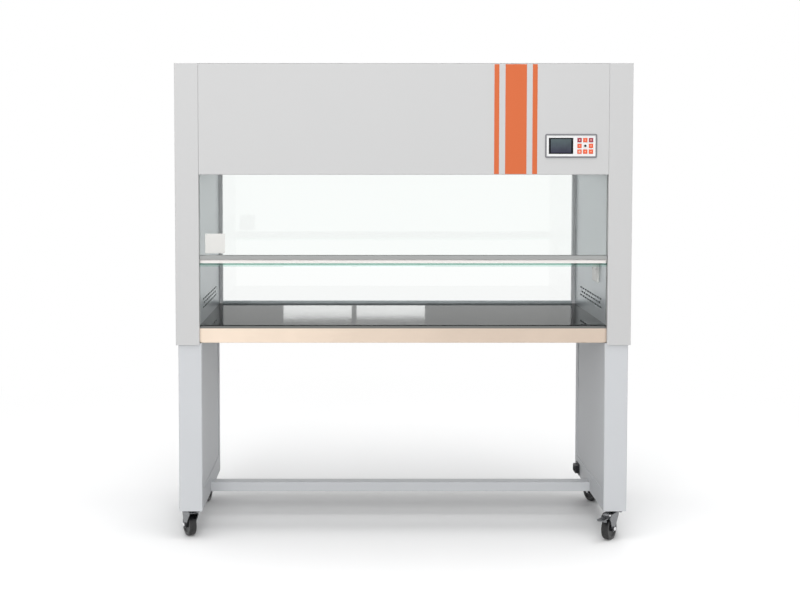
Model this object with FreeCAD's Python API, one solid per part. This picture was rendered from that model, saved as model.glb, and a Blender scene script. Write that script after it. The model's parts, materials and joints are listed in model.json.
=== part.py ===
import FreeCAD, Part
import math
import os

# Vertical laminar flow cabinet: two glazed work places, sliding front sash, fan chamber
# above, stainless worktop, and two stand frames on four braked swivel casters.
# Millimetres. The origin is on the floor under the middle of the cabinet, X points right,
# Y points to the back and Z points up, so the operator stands on the -Y side.

V = FreeCAD.Vector

# Driving dimensions of the whole cabinet
body_width = 1500.0
body_depth = 717.0
caster_height = 98.0
stand_height = 562.0
table_height = 58.0
opening_height = 498.0
hood_height = 364.0
sheet = 1.2                    # painted sheet steel
bend = 1.0                     # inside radius of its folds
seam = 0.5                     # visible joint between neighbouring panels

# Columns beside the work opening
column_width = 78.0
column_overlap = 6.0           # the column skirt hangs this far over the stand
shell_clearance = 6.3          # between the column skirt and the stand, each side
stand_setback = 5.0            # stand front behind the column front

# Sash and its guides
glass_thickness = 5.0
glass_setback = 22.0           # glass front behind the cabinet front
sash_gap = 194.0               # glass lower edge above the worktop at rest
sash_rise = 105.0              # travel up from rest
sash_rest = 2.0                # glass lower edge above the worktop when shut
high_stop_length = 2.7
stop_gap = 0.3                 # left between the sash and its stops at either end
guide_depth = 17.0
guide_width = 18.0
guide_wall = 1.5
guide_clearance = 0.5
guide_top_gap = 20.0           # guide top below the cabinet top
handle_offset = 12.0           # handle lower edge above the glass lower edge
handle_height = 27.0
handle_depth = 15.0
handle_lip = 10.0              # height of the thin lower part of the handle
handle_plate = 4.0
handle_end_gap = 2.0
handle_edge = 4.0              # bevels along the grip
handle_undercut = 3.0
clamp_height = 24.0
clamp_width = 20.0
clamp_below_glass_top = 92.0
clamp_plate = 3.0
clamp_lap = 6.0                # clamp plate over the edge rail
clamp_past_cable = 6.0
edge_rail_width = 13.0

# Counterbalance
pulley_radius = 30.0           # to the cable's centre line
pulley_rim = 3.0
groove_angle = 53.0            # half the angle of the pulley's V groove
pulley_below_top = 60.0
cable_radius = 1.0
cable_seat = 0.1               # cable clear of the groove's bottom
axle_radius = 4.0
running_clearance = 0.05
pulley_side_play = 0.5
pulley_behind_glass = 6.0
pulley_outboard = 8.0          # pulley centre past the chamber's side
pin_head = 3.0                 # head past the pin, all round
pin_head_height = 2.0
bracket_thickness = 3.0
bracket_reach = 16.0           # bracket edge round the pin
weight_width = 30.0
weight_depth = 60.0
weight_height = 350.0
weight_drop = 250.0            # weight top below the pulley centre at rest
weight_eye = 15.0
weight_chamfer = 4.0
weight_eye_radius = 5.0

# Worktop tray
table_sheet = 1.5
table_nose = 10.0
table_setback = 14.0
table_return = 25.0
rib_count = 3
rib_width = 40.0
rib_height = 25.0
sill_drop = 20.0               # rebate for the window frame behind the worktop

# Rear window
window_head = 15.0
window_foot = 8.0              # lower rail above the worktop
window_post = 11.0
window_depth = 30.0
window_setback = 28.0          # frame in front of the cabinet's back
window_groove = 7.5
window_play = 0.5

# Liner walls with their air slots
slot_rows = 3
slot_count = 9                 # in the outer rows, and one less in the middle row
slot_length = 35.0
slot_height = 6.0
slot_pitch = 49.0
slot_row_pitch = 14.0
slot_first_setback = 126.0     # first slot's middle behind the cabinet front
slot_low = 48.0                # lowest row above the worktop

# Hood contents
hood_lip = 14.0
hood_top_flange = 20.0
stripe_thickness = 0.4
stripe_setbacks = (376.0, 340.0, 251.0)    # left edges from the hood panel's right end
stripe_widths = (16.0, 70.0, 16.0)
diffuser_rise = 34.0           # diffuser above the hood's lower edge
diffuser_fold = 12.0
diffuser_lip = 16.0
diffuser_front = 59.0          # behind the cabinet front
diffuser_slots = (4, 9)
diffuser_slot = (280.0, 24.0)
diffuser_pitch = (318.0, 64.0)
filter_height = 70.0
filter_wall = 15.0
filter_side_gap = 10.0
filter_front_gap = 8.0
filter_back_gap = 30.0
pleat_count = 26
pleat_band = 18.0
media_gap = 3.0                # media inside the frame's top and bottom
deck_skirt = 24.0
lamp_length = 1200.0
lamp_setbacks = (87.0, 137.0)
lamp_width = 26.0
lamp_body = 14.0
lamp_tube_radius = 7.0
lamp_holder = 12.0
lamp_tube_gap = 2.0            # between tube and batten
intake_slots = (2, 13)
intake_slot = (262.0, 9.0)
intake_pitch = (282.0, 20.0)
intake_margin = 22.0
prefilter_height = 18.0
prefilter_wall = 10.0
prefilter_pleats = 16
prefilter_mat_gap = 3.0        # pleats under the intake slots
prefilter_band = 3.0

# Blowers
blower_x = 330.0
blower_y = 10.0
scroll_radius = 66.0
scroll_step = 8.0
scroll_width = 124.0
scroll_sheet = 1.2
scroll_rise = 84.0             # shaft above the fan deck
inlet_radius = 50.0
impeller_radius = 57.0
impeller_width = 104.0
blade_count = 16
blade_depth = 11.0
blade_thickness = 1.0
blade_knee_share = 0.6               # share of the blade's depth that is straight
blade_lean_angle = 9.0               # degrees that the tip runs ahead of the root
impeller_disc = 2.0
impeller_hub = 12.0
hub_length = 28.0
shaft_grip = 20.0              # length of shaft inside the motor
shaft_radius = 5.0
shaft_room = 2.0               # round the shaft in the housing's side
motor_radius = 38.0
motor_length = 70.0
motor_gap = 6.0                # motor face to blower housing
motor_foot = (30.0, 60.0, 4.0)        # half width, half depth, height
motor_pedestal = (22.0, 18.0, 20.0)    # half width, half depth, top below the shaft

# Control panel on the hood
panel_from_side = 39.0         # bezel from the hood panel's right end
panel_width = 170.5
panel_low = 55.0               # above the hood's lower edge
panel_height = 78.7
bezel_proud = 3.0
bezel_rim = 5.0
bezel_corner = 6.0
bezel_edge = 1.0
collar_wall = 1.5
collar_depth = 11.0
panel_clearance = 0.3
fascia_recess = 1.5            # fascia front behind the bezel front
fascia_thickness = 2.5
screen_margin = 12.2
screen_to_keys = 10.4          # display flange to the first keys' flanges
screen_height = 52.8
screen_flange = 2.0
screen_proud = 0.2
key_size = 14.0
key_pitch = 18.8
key_columns = 3
key_rows = 3
keypad_margin = 15.3           # right key column's middle to the bezel's inner edge
key_clearance = 0.3
key_proud = 1.2
key_travel = 1.0
key_edge = 0.8
key_seat = 0.1                 # key flange behind the fascia
key_lip = 1.0
key_flange = 1.0
key_stem = 5.0
board_clearance = 0.4          # left when a key is down
board_gap = 6.4                # fascia back to board front
board_thickness = 1.6
post_size = 4.0
post_inset = 3.0               # middle of a corner post inside the bezel
board_edge = 1.0
# parts on the board's back: x and z ranges from its lower left corner, and height
board_parts = ((20.0, 50.0, 20.0, 34.0, 3.0), (70.0, 82.0, 30.0, 42.0, 3.0),
               (114.0, 144.0, 49.0, 61.0, 5.0))

# Wall socket
socket_size = 86.0
socket_setback = 200.0         # its middle behind the cabinet front
socket_rise = 172.0            # its middle above the worktop
socket_plate = 9.0
socket_box = 70.0
socket_box_depth = 28.0
socket_bevel = 2.5
socket_pin = (2.2, 9.0)        # width and length of a pin's slot
# places of the pin slots from the middle of the plate (y, z) and their lean in degrees
socket_pins = ((-7.0, 16.0, 0.0), (7.0, 16.0, 0.0), (0.0, -7.0, 0.0), (-8.0, -22.0, 30.0),
               (8.0, -22.0, -30.0))

# Stand frames
leg_width = 76.5
stand_depth = 580.0
stand_wall = 1.5
panel_sheet = 1.2
front_post = 40.0
rear_post = 45.0
bottom_rail = 65.0
top_rail = 40.0
panel_recess = 2.0
foot_plate = 3.0
leg_edge = 2.0
stretcher_depth = 50.0
stretcher_height = 32.0
stretcher_wall = 2.0
inlet_length = 62.0
inlet_height = 40.0
inlet_from_back = 72.0
inlet_rise = 24.0
inlet_flange = 3.0
inlet_body = 12.0
inlet_rim = (8.0, 6.0)         # flange past the body, along Y and Z
inlet_well = (12.0, 36.0)      # well's ends from the flange's front edge
inlet_well_edge = 10.0         # well inside the flange, top and bottom
inlet_floor = 6.0              # well's floor from the stand's side
inlet_drawer = (40.0, 52.0, 1.5)       # fuse drawer's ends and how proud it stands
inlet_pin = (8.0, 4.0, 2.0)    # length, width and thickness of a contact
inlet_pins = ((15.0, 15.0), (29.0, 15.0), (22.0, 23.0))

# Casters
caster_from_front = 40.0       # swivel axis behind the stand front
caster_from_back = 45.0
wheel_radius = 37.5
wheel_width = 25.0
facets = 24                    # flats round a small turned piece
trail = 28.0
top_plate = 60.0
top_plate_thickness = 3.0
top_plate_corner = 6.0
race_radius = 19.0
race_height = 7.0
kingpin_radius = 6.0
kingpin_head = 10.0
kingpin_cap = 3.0
fork_wall = 2.5
fork_gap = 2.0                 # between wheel side and fork cheek
crown_radius = 22.0
crown_bevel_share = 0.6              # corner of the crown, share of its radius
crown_before_pivot = 10.0
cheek_drop = 10.0              # straight front edge of a cheek
cheek_nose = (5.0, 4.0, 3.0)   # cheek past the pedal pin: behind, below, above
cheek_boss = 11.0              # cheek edge round the axle
crown_play = 0.3
wheel_axle_radius = 4.0
nut_radius = 7.5
nut_height = 4.0
hub_radius = 10.0
hub_clearance = 0.4            # hub end to fork cheek
tread_flat = 15.0
tread_drop = 3.0
tyre_wall = 10.0
dish = 4.0
pedal_pivot_reach = 48.0
pedal_pivot_z = 76.5
pedal_pin_radius = 2.5
pedal_reach = 105.0
pedal_half_width = 13.0
pedal_thickness = 2.5
pedal_barrel = 1.8             # wall round the pedal pin
pedal_end_play = 0.5
pedal_corner_share = 0.4             # bevelled corner, share of the half width
pedal_swing_angle = 7.0              # degrees from up to pressed down
shoe_reach = (51.0, 58.0)      # ends of the brake shoe from the swivel axis, when pressed
shoe_width = 13.0
shoe_clearance = 0.6           # ends of the pressed shoe above the tread
rib_places = (-7.0, 5.0)
rib_depth = 5.0
rib_thickness = 2.0
# direction in which each caster trails, degrees from +X towards +Y
trail_angles = {
    "front_left": 117.0,
    "front_right": 235.0,
    "rear_left": 260.0,
    "rear_right": 297.0,
}

# Levels and planes that follow from the sizes above
half = body_width / 2
front_y = (bezel_proud - body_depth) / 2
back_y = front_y + body_depth
stand_top_z = caster_height + stand_height
table_z = stand_top_z + table_height
hood_z = table_z + opening_height
top_z = hood_z + hood_height
inner_x = half - column_width
column_z = stand_top_z - column_overlap
shell_top_z = top_z - sheet
glass_front = front_y + glass_setback
glass_mid = glass_front + glass_thickness / 2
guide_front = glass_mid - guide_depth / 2
guide_back = glass_mid + guide_depth / 2
rear_inside = back_y - sheet
diffuser_z = hood_z + diffuser_rise
filter_z = diffuser_z + diffuser_fold
filter_top = filter_z + filter_height
deck_z = filter_top + deck_skirt
deck_top = deck_z + sheet
filter_x = inner_x - filter_side_gap
filter_front = front_y + diffuser_front + filter_front_gap
filter_back = rear_inside - filter_back_gap
stand_x1 = half - sheet - shell_clearance
stand_x0 = stand_x1 - leg_width
stand_y0 = front_y + stand_setback
stand_y1 = stand_y0 + stand_depth
leg_x = (stand_x0 + stand_x1) / 2
sash_drop = sash_gap - sash_rest
guide_low = stand_top_z + sheet
guide_high = top_z - guide_top_gap
glass_low = table_z + sash_gap
glass_high = guide_high - high_stop_length - stop_gap - sash_rise
panel_x = inner_x - panel_from_side - panel_width
keypad_width = keypad_margin + (key_columns - 1) * key_pitch + key_size / 2 + key_lip
screen_width = (panel_width - bezel_rim - keypad_width - screen_to_keys - screen_flange
                - screen_margin)
table_back = rear_inside - window_setback - window_depth
groove_depth = (cable_radius + cable_seat) / math.sin(math.radians(groove_angle))
pulley_width = 2 * (groove_depth + pulley_rim) * math.tan(math.radians(groove_angle))
parts = {}


def box(x0, x1, y0, y1, z0, z1):
    return Part.makeBox(x1 - x0, y1 - y0, z1 - z0, V(x0, y0, z0))


def centred_box(x, y, z, size_x, size_y, size_z):
    corner = V(x - size_x / 2, y - size_y / 2, z - size_z / 2)
    return Part.makeBox(size_x, size_y, size_z, corner)


def rod(radius, start, end):
    axis = end.sub(start)
    return Part.makeCylinder(radius, axis.Length, start, axis)


def fuse(*shapes):
    return shapes[0].multiFuse(list(shapes[1:])).removeSplitter()


def cut(shape, tools):
    return shape.cut(Part.makeCompound(list(tools)))


def mirrored(shape):
    return shape.mirror(V(0, 0, 0), V(1, 0, 0))


def both(shape):
    """A piece and its mirror image on the other side of the cabinet."""
    return [shape, mirrored(shape)]


def on_xy(u, v):
    return V(u, v, 0)


def on_yz(u, v):
    return V(0, u, v)


def on_xz(u, v):
    return V(u, 0, v)


def closed_face(points, place):
    corners = [place(u, v) for u, v in points]
    return Part.Face(Part.makePolygon(corners + corners[:1]))


def prism(points, place, start, length):
    """Extrudes a closed outline along the axis that its plane leaves free."""
    normal = {on_xy: V(0, 0, 1), on_yz: V(1, 0, 0), on_xz: V(0, 1, 0)}[place]
    face = closed_face(points, place)
    face.translate(normal * start)
    return face.extrude(normal * length)


def rounded_box(x0, x1, y0, y1, z0, z1, radius):
    """A plate in the XZ plane with rounded corners, y0 to y1 thick."""
    block = box(x0, x1, y0, y1, z0, z1)
    edges = [e for e in block.Edges if abs(e.tangentAt(e.FirstParameter).y) > 0.99]
    return block.makeFillet(radius, edges)


def folded(points, place, start, length, thickness=sheet, radii=None):
    """Sheet folded along an open outline: points lie on its outer face, and the sheet
    is to the left of the direction of travel. radii are the inside radii of the folds."""
    radii = radii or [bend] * (len(points) - 2)
    outer, inner = [points[0]], []
    first = direction(points[0], points[1])
    inner.append(offset(points[0], first, thickness))
    edges_out, edges_in = [], []
    for index, radius in enumerate(radii):
        corner = points[index + 1]
        before = direction(points[index], corner)
        after = direction(corner, points[index + 2])
        left_turn = before[0] * after[1] - before[1] * after[0] > 0
        path_radius = radius + thickness if left_turn else radius
        turn = math.acos(before[0] * after[0] + before[1] * after[1])
        tangent = path_radius * math.tan(turn / 2)
        enter = (corner[0] - before[0] * tangent, corner[1] - before[1] * tangent)
        leave = (corner[0] + after[0] * tangent, corner[1] + after[1] * tangent)
        side = path_radius if left_turn else -path_radius
        centre = offset(enter, before, side)
        middle = arc_middle(centre, enter, leave)
        enter_in = offset(enter, before, thickness)
        leave_in = offset(leave, after, thickness)
        middle_in = arc_middle(centre, enter_in, leave_in)
        edges_out += [("line", outer[-1], enter), ("arc", enter, middle, leave)]
        edges_in += [("line", inner[-1], enter_in), ("arc", enter_in, middle_in, leave_in)]
        outer.append(leave)
        inner.append(leave_in)
    last = direction(points[-2], points[-1])
    end_in = offset(points[-1], last, thickness)
    edges_out.append(("line", outer[-1], points[-1]))
    edges_in.append(("line", inner[-1], end_in))
    edges = edges_out + [("line", points[-1], end_in)] + edges_in
    edges.append(("line", points[0], offset(points[0], first, thickness)))
    wire = Part.Wire(Part.__sortEdges__([drawn(edge, place) for edge in edges]))
    normal = {on_xy: V(0, 0, 1), on_yz: V(1, 0, 0), on_xz: V(0, 1, 0)}[place]
    face = Part.Face(wire)
    face.translate(normal * start)
    return face.extrude(normal * length)


def turned(outline, sides):
    """A turned piece about the Y axis, with flats round it: outline is (radius, y)."""
    rings = []
    for radius, y in outline:
        turns = [2 * math.pi * index / sides for index in range(sides)]
        rings.append([V(radius * math.cos(t), y, radius * math.sin(t)) for t in turns])
    faces = []
    for index, ring in enumerate(rings):
        other = rings[(index + 1) % len(rings)]
        for k in range(sides):
            m = (k + 1) % sides
            faces.append(Part.Face(Part.makePolygon([ring[k], ring[m], other[m], other[k],
                                                     ring[k]])))
    return Part.makeSolid(Part.makeShell(faces)).removeSplitter()


def flat_rod(radius, sides, start, end):
    """A rod with flats, cheap where only its place and length matter."""
    length = end.sub(start).Length
    corners = [(radius * math.cos(2 * math.pi * k / sides),
                radius * math.sin(2 * math.pi * k / sides)) for k in range(sides)]
    piece = prism(corners, on_xy, 0.0, length)
    piece.Placement = FreeCAD.Placement(start, FreeCAD.Rotation(V(0, 0, 1), end.sub(start)))
    return piece


def tall_edges(shape):
    return [e for e in shape.Edges if abs(e.tangentAt(e.FirstParameter).z) > 0.99]


def direction(a, b):
    length = math.hypot(b[0] - a[0], b[1] - a[1])
    return ((b[0] - a[0]) / length, (b[1] - a[1]) / length)


def offset(point, along, distance):
    """The point moved to the left of a direction of travel."""
    return (point[0] - along[1] * distance, point[1] + along[0] * distance)


def arc_middle(centre, a, b):
    radius = math.hypot(a[0] - centre[0], a[1] - centre[1])
    towards = ((a[0] + b[0]) / 2 - centre[0], (a[1] + b[1]) / 2 - centre[1])
    length = math.hypot(*towards)
    return (centre[0] + towards[0] / length * radius, centre[1] + towards[1] / length * radius)


def drawn(edge, place):
    spots = [place(*point) for point in edge[1:]]
    if edge[0] == "line":
        return Part.makeLine(spots[0], spots[1])
    return Part.Arc(spots[0], spots[1], spots[2]).toShape()


# Columns, liners and stand


def column_shell():
    outline = [
        (inner_x, guide_front),
        (inner_x, front_y),
        (half, front_y),
        (half, back_y),
        (inner_x, back_y),
    ]
    shell = folded(outline, on_xy, column_z, shell_top_z - column_z)
    # The edge beside the opening stops on the stand; only the outer skirt hangs over it.
    clear = front_y + sheet + bend
    return shell.cut(box(inner_x - 1, inner_x + 2 * sheet, clear, guide_front + 1,
                         column_z - 1, stand_top_z))


def air_slot(y, z):
    """A cutter for one slot with pointed ends, which drain."""
    reach = slot_length / 2
    flat = reach - slot_height / 2
    rise = slot_height / 2
    outline = [(y - reach, z), (y - flat, z - rise), (y + flat, z - rise),
               (y + reach, z), (y + flat, z + rise), (y - flat, z + rise)]
    return prism(outline, on_yz, inner_x - sheet, 3 * sheet)


def liner_wall(with_socket):
    outline = [
        (inner_x, deck_top),
        (inner_x, stand_top_z),
        (half - sheet - bend, stand_top_z),
    ]
    wall = folded(outline, on_xz, guide_back, rear_inside - guide_back)
    tools = []
    for row in range(slot_rows):
        inner = row % 2
        for index in range(slot_count - inner):
            y = front_y + slot_first_setback + (index + inner / 2) * slot_pitch
            tools.append(air_slot(y, table_z + slot_low + row * slot_row_pitch))
    if with_socket:
        opening = socket_box + 2 * panel_clearance
        tools.append(centred_box(inner_x, front_y + socket_setback,
                                 table_z + socket_rise, 4 * sheet, opening, opening))
    return cut(wall, tools)


def stand_frame():
    frame = box(stand_x0, stand_x1, stand_y0, stand_y1, caster_height, stand_top_z)
    frame = frame.makeChamfer(leg_edge, tall_edges(frame))
    low = caster_height + bottom_rail
    high = stand_top_z - top_rail
    post_y = stand_y0 + front_post
    rear_y = stand_y1 - rear_post
    floor_z = caster_height + foot_plate
    thick = panel_recess + panel_sheet
    tools = [
        box(stand_x0 - 1, stand_x0 + panel_recess, post_y, rear_y, low, high),
        box(stand_x1 - panel_recess, stand_x1 + 1, post_y, rear_y, low, high),
        box(stand_x0 + thick, stand_x1 - thick, post_y, rear_y, floor_z, stand_top_z + 1),
        box(stand_x0 + stand_wall, stand_x1 - stand_wall, stand_y0 + stand_wall,
            post_y - stand_wall, floor_z, stand_top_z + 1),
        box(stand_x0 + stand_wall, stand_x1 - stand_wall, rear_y + stand_wall,
            stand_y1 - stand_wall, floor_z, stand_top_z + 1),
    ]
    return cut(frame, tools)


def caster_lines():
    return (stand_y0 + caster_from_front, stand_y1 - caster_from_back)


def stretcher():
    middle = (stand_y0 + stand_y1) / 2
    outer = box(-stand_x0, stand_x0, middle - stretcher_depth / 2,
                middle + stretcher_depth / 2, caster_height, caster_height + stretcher_height)
    long_edges = [e for e in outer.Edges if abs(e.tangentAt(e.FirstParameter).x) > 0.99]
    outer = outer.makeChamfer(stretcher_wall / 2, long_edges)
    hollow = box(-stand_x0 - 1, stand_x0 + 1, middle - stretcher_depth / 2 + stretcher_wall,
                 middle + stretcher_depth / 2 - stretcher_wall,
                 caster_height + stretcher_wall,
                 caster_height + stretcher_height - stretcher_wall)
    return outer.cut(hollow)


# Work chamber


def work_table():
    table_front = front_y + table_setback
    sill_z = table_z - sill_drop
    outline = [
        (table_front + table_return, stand_top_z),
        (table_front, stand_top_z),
        (table_front, table_z),
        (table_back, table_z),
        (table_back, sill_z),
        (rear_inside, sill_z),
        (rear_inside, stand_top_z),
    ]
    # The outline runs clockwise seen from +X, so it is drawn backwards to keep the
    # sheet on its inner side.
    tray = folded(outline[::-1], on_yz, -inner_x, 2 * inner_x, table_sheet,
                  [bend, bend, bend, table_nose - table_sheet, bend])
    under = table_z - table_sheet
    side_front = table_front + table_nose
    side_back = table_back - table_sheet
    side = box(inner_x - table_sheet, inner_x, side_front, side_back, stand_top_z, under)
    ribs = []
    for index in range(rib_count):
        x = (index - (rib_count - 1) / 2) * inner_x / 2
        outer = box(x - rib_width / 2, x + rib_width / 2, table_front + table_return,
                    side_back, under - rib_height, under)
        hollow = box(x - rib_width / 2 + table_sheet, x + rib_width / 2 - table_sheet,
                     front_y, back_y, under - rib_height + table_sheet, under)
        ribs.append(outer.cut(hollow))
    return [tray, *both(side), *ribs]


def window_frame():
    low = table_z - sill_drop
    outer = box(-inner_x, inner_x, table_back, table_back + window_depth, low, diffuser_z)
    # The lower front edge is bevelled to clear the fold of the tray's rebate.
    seat = [e for e in outer.Edges
            if e.BoundBox.YMax < table_back + 0.01 and e.BoundBox.ZMax < low + 0.01]
    outer = outer.makeChamfer(bend, seat)
    clear = box(-inner_x + window_post, inner_x - window_post, table_back - 1, back_y,
                table_z + window_foot, diffuser_z - window_head)
    return cut(outer, [clear, window_slab(window_play)])


def window_slab(play):
    """The rear pane, or with some play the groove that holds it."""
    reach_x = inner_x - window_post + window_groove + play
    low = table_z + window_foot - window_groove - play
    high = diffuser_z - window_head + window_groove + play
    middle = table_back + window_depth / 2
    return box(-reach_x, reach_x, middle - glass_thickness / 2 - play,
               middle + glass_thickness / 2 + play, low, high)


def wall_socket():
    y = front_y + socket_setback
    z = table_z + socket_rise
    face_x = inner_x - socket_plate
    plate = centred_box(inner_x - socket_plate / 2, y, z, socket_plate, socket_size,
                        socket_size)
    front_edges = [e for e in plate.Edges
                   if all(abs(p.Point.x - face_x) < 0.01 for p in e.Vertexes)]
    plate = plate.makeChamfer(socket_bevel, front_edges)
    back = centred_box(inner_x + socket_box_depth / 2, y, z, socket_box_depth,
                       socket_box, socket_box)
    depth = 2 * socket_plate
    pin_slots = []
    for dy, dz, lean in socket_pins:
        slot = centred_box(face_x, y + dy, z + dz, depth, *socket_pin)
        slot.rotate(V(face_x, y + dy, z + dz), V(1, 0, 0), lean)
        pin_slots.append(slot)
    return cut(fuse(plate, back), pin_slots)


# Sash, guides and counterbalance


def rail_reach():
    return inner_x + guide_width - guide_wall - guide_clearance


def sash_glass():
    reach = rail_reach() - guide_wall
    return box(-reach, reach, glass_front, glass_front + glass_thickness, glass_low,
               glass_high)


def sash_handle():
    low = glass_low + handle_offset
    lip = low + handle_lip
    top = low + handle_height
    nose = glass_front - handle_depth
    lip_y = glass_front - handle_plate
    outline = [
        (glass_front, low),
        (glass_front, top),
        (nose + handle_edge, top),
        (nose + handle_edge * 0.3, top - handle_edge * 0.3),
        (nose, top - handle_edge),
        (nose, lip + handle_undercut),
        (nose + handle_undercut, lip),
        (lip_y - handle_undercut, lip + handle_undercut),
        (lip_y, lip + handle_undercut / 3),
        (lip_y, low),
    ]
    reach = inner_x - handle_end_gap
    return prism(outline, on_yz, -reach, 2 * reach)


def clamp_z():
    return glass_high - clamp_below_glass_top


def cable_line_y():
    return glass_front + glass_thickness + pulley_width + pulley_behind_glass


def pulley_centre():
    return V(inner_x + pulley_outboard, cable_line_y(), top_z - pulley_below_top)


def sash_edge_rail():
    """A channel round the pane's side edge, with the lug that clamps the cable."""
    reach = rail_reach()
    half_depth = guide_depth / 2 - guide_wall - guide_clearance
    rail = box(reach - edge_rail_width, reach,
               glass_mid - half_depth, glass_mid + half_depth, glass_low, glass_high)
    groove = box(0, reach - guide_wall, glass_front, glass_front + glass_thickness,
                 glass_low - 1, glass_high + 1)
    rail = rail.cut(groove)
    lug_x = pulley_centre().x - pulley_radius
    back = glass_front + glass_thickness
    low, high = clamp_z() - clamp_height / 2, clamp_z() + clamp_height / 2
    tab = box(lug_x - clamp_width / 2, reach - clamp_lap, back, back + clamp_plate, low, high)
    lug = box(lug_x - clamp_width / 2, lug_x + clamp_width / 2, back,
              cable_line_y() + clamp_past_cable, low, high)
    return fuse(rail, tab, lug)


def sash_guide():
    """A channel for the sash edge, with the bracket and pin of the cable pulley."""
    x0, x1 = inner_x, inner_x + guide_width
    low, high = guide_low, guide_high
    outer = box(x0, x1, guide_front, guide_back, low, high)
    hollow = box(x0 - 1, x1 - guide_wall, guide_front + guide_wall, guide_back - guide_wall,
                 low - 1, high + 1)
    centre = pulley_centre()
    reach = bracket_reach
    outline = [(centre.x - reach / 2, centre.z - reach), (centre.x + reach / 2, centre.z - reach),
               (x1, centre.z), (x1, high), (x0, high), (centre.x - reach, centre.z)]
    plate = prism(outline, on_xz, guide_back, bracket_thickness)
    pin_end = centre.y + pulley_width / 2 + pulley_side_play
    pin = rod(axle_radius, V(centre.x, guide_back, centre.z), V(centre.x, pin_end, centre.z))
    head = flat_rod(axle_radius + pin_head, 6, V(centre.x, pin_end, centre.z),
                    V(centre.x, pin_end + pin_head_height, centre.z))
    collar = flat_rod(axle_radius + pin_head, 6, V(centre.x, guide_back, centre.z),
                      V(centre.x, centre.y - pulley_width / 2 - pulley_side_play, centre.z))
    low_stop = box(x0, x1 - guide_wall, guide_front + guide_wall, guide_back - guide_wall,
                   low, glass_low - sash_drop - stop_gap)
    high_stop = box(x0, x1 - guide_wall, guide_front + guide_wall, guide_back - guide_wall,
                    high - high_stop_length, high)
    return fuse(outer.cut(hollow), plate, pin, head, collar, low_stop, high_stop)


def cable_pulley():
    """A grooved wheel, turned in one piece."""
    rim = pulley_radius + pulley_rim
    bottom = pulley_radius - groove_depth
    flat = pulley_width / 2
    bore = axle_radius + running_clearance
    outline = [(bore, -flat), (rim, -flat), (bottom, 0.0), (rim, flat), (bore, flat)]
    wheel = turned([(bore - 1, -flat)] + outline[1:-1] + [(bore - 1, flat)], facets)
    wheel = wheel.cut(rod(bore, V(0, -flat - 1, 0), V(0, flat + 1, 0)))
    wheel.translate(pulley_centre())
    return wheel


def cable():
    centre = pulley_centre()
    near, far = centre.x - pulley_radius, centre.x + pulley_radius
    lug_top = clamp_z() + clamp_height / 2
    weight_top = centre.z - weight_drop + weight_eye
    sash_run = hexagon(cable_radius, centre.z - lug_top)
    sash_run.translate(V(near, centre.y, lug_top))
    weight_run = hexagon(cable_radius, centre.z - weight_top)
    weight_run.translate(V(far, centre.y, weight_top))
    section = hexagon(cable_radius, 1.0).Faces
    section = [face for face in section if abs(face.CenterOfMass.z) < 0.001][0]
    section.translate(V(near, centre.y, centre.z))
    arc = section.revolve(centre, V(0, 1, 0), 180)
    return fuse(sash_run, arc, weight_run)


def counterweight():
    centre = pulley_centre()
    x = centre.x + pulley_radius
    top = centre.z - weight_drop
    block = box(x - weight_width / 2, x + weight_width / 2, centre.y - weight_depth / 2,
                centre.y + weight_depth / 2, top - weight_height, top)
    block = block.makeChamfer(weight_chamfer, block.Edges)
    eye = flat_rod(weight_eye_radius, 6, V(x, centre.y, top - 1), V(x, centre.y, top + weight_eye))
    return fuse(block, eye)


# Hood


def hood_front():
    width = inner_x - seam
    outline = [
        (front_y + hood_top_flange, shell_top_z),
        (front_y, shell_top_z),
        (front_y, hood_z),
        (front_y + hood_lip, hood_z),
        (front_y + hood_lip, hood_z + hood_lip),
    ]
    pan = folded(outline, on_yz, -width, 2 * width)
    flange = box(width - sheet, width, front_y + sheet, front_y + hood_lip,
                 hood_z + sheet, shell_top_z - sheet)
    pan = fuse(pan, *both(flange))
    grow = collar_wall + panel_clearance
    return pan.cut(box(panel_x + bezel_rim - grow, panel_x + panel_width - bezel_rim + grow,
                       front_y - 1, front_y + hood_lip - sheet,
                       hood_z + panel_low + bezel_rim - grow,
                       hood_z + panel_low + panel_height - bezel_rim + grow))


def accent_stripes():
    flat = sheet + bend
    return [box(inner_x - setback, inner_x - setback + width, front_y - stripe_thickness,
                front_y, hood_z + flat, shell_top_z - flat)
            for setback, width in zip(stripe_setbacks, stripe_widths)]


def grid(counts, pitches):
    """Places of a centred grid of slots."""
    across, along = counts
    return [((i - (across - 1) / 2) * pitches[0], (j - (along - 1) / 2) * pitches[1])
            for i in range(across) for j in range(along)]


def hood_cover():
    width = inner_x - seam
    outline = [(front_y, top_z), (back_y, top_z), (back_y, hood_z)]
    cover = folded(outline[::-1], on_yz, -width, 2 * width)
    wing = box(width, half, front_y, back_y, shell_top_z, top_z)
    cover = fuse(cover, *both(wing))
    slots = [box(x - intake_slot[0] / 2, x + intake_slot[0] / 2, y - intake_slot[1] / 2,
                 y + intake_slot[1] / 2, shell_top_z - 1, top_z + 1)
             for x, y in grid(intake_slots, intake_pitch)]
    return cut(cover, slots)


def pleats(x0, x1, y0, y1, z0, z1, count, band):
    """A pleated pack between two levels, folded along X."""
    pitch = (x1 - x0) / count
    low, high = [], []
    for index in range(count):
        x = x0 + index * pitch
        low += [(x, z0), (x + pitch / 2, z1 - band)]
        high += [(x, z0 + band), (x + pitch / 2, z1)]
    low.append((x1, z0))
    high.append((x1, z0 + band))
    return prism(low + high[::-1], on_xz, y0, y1 - y0)


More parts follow.
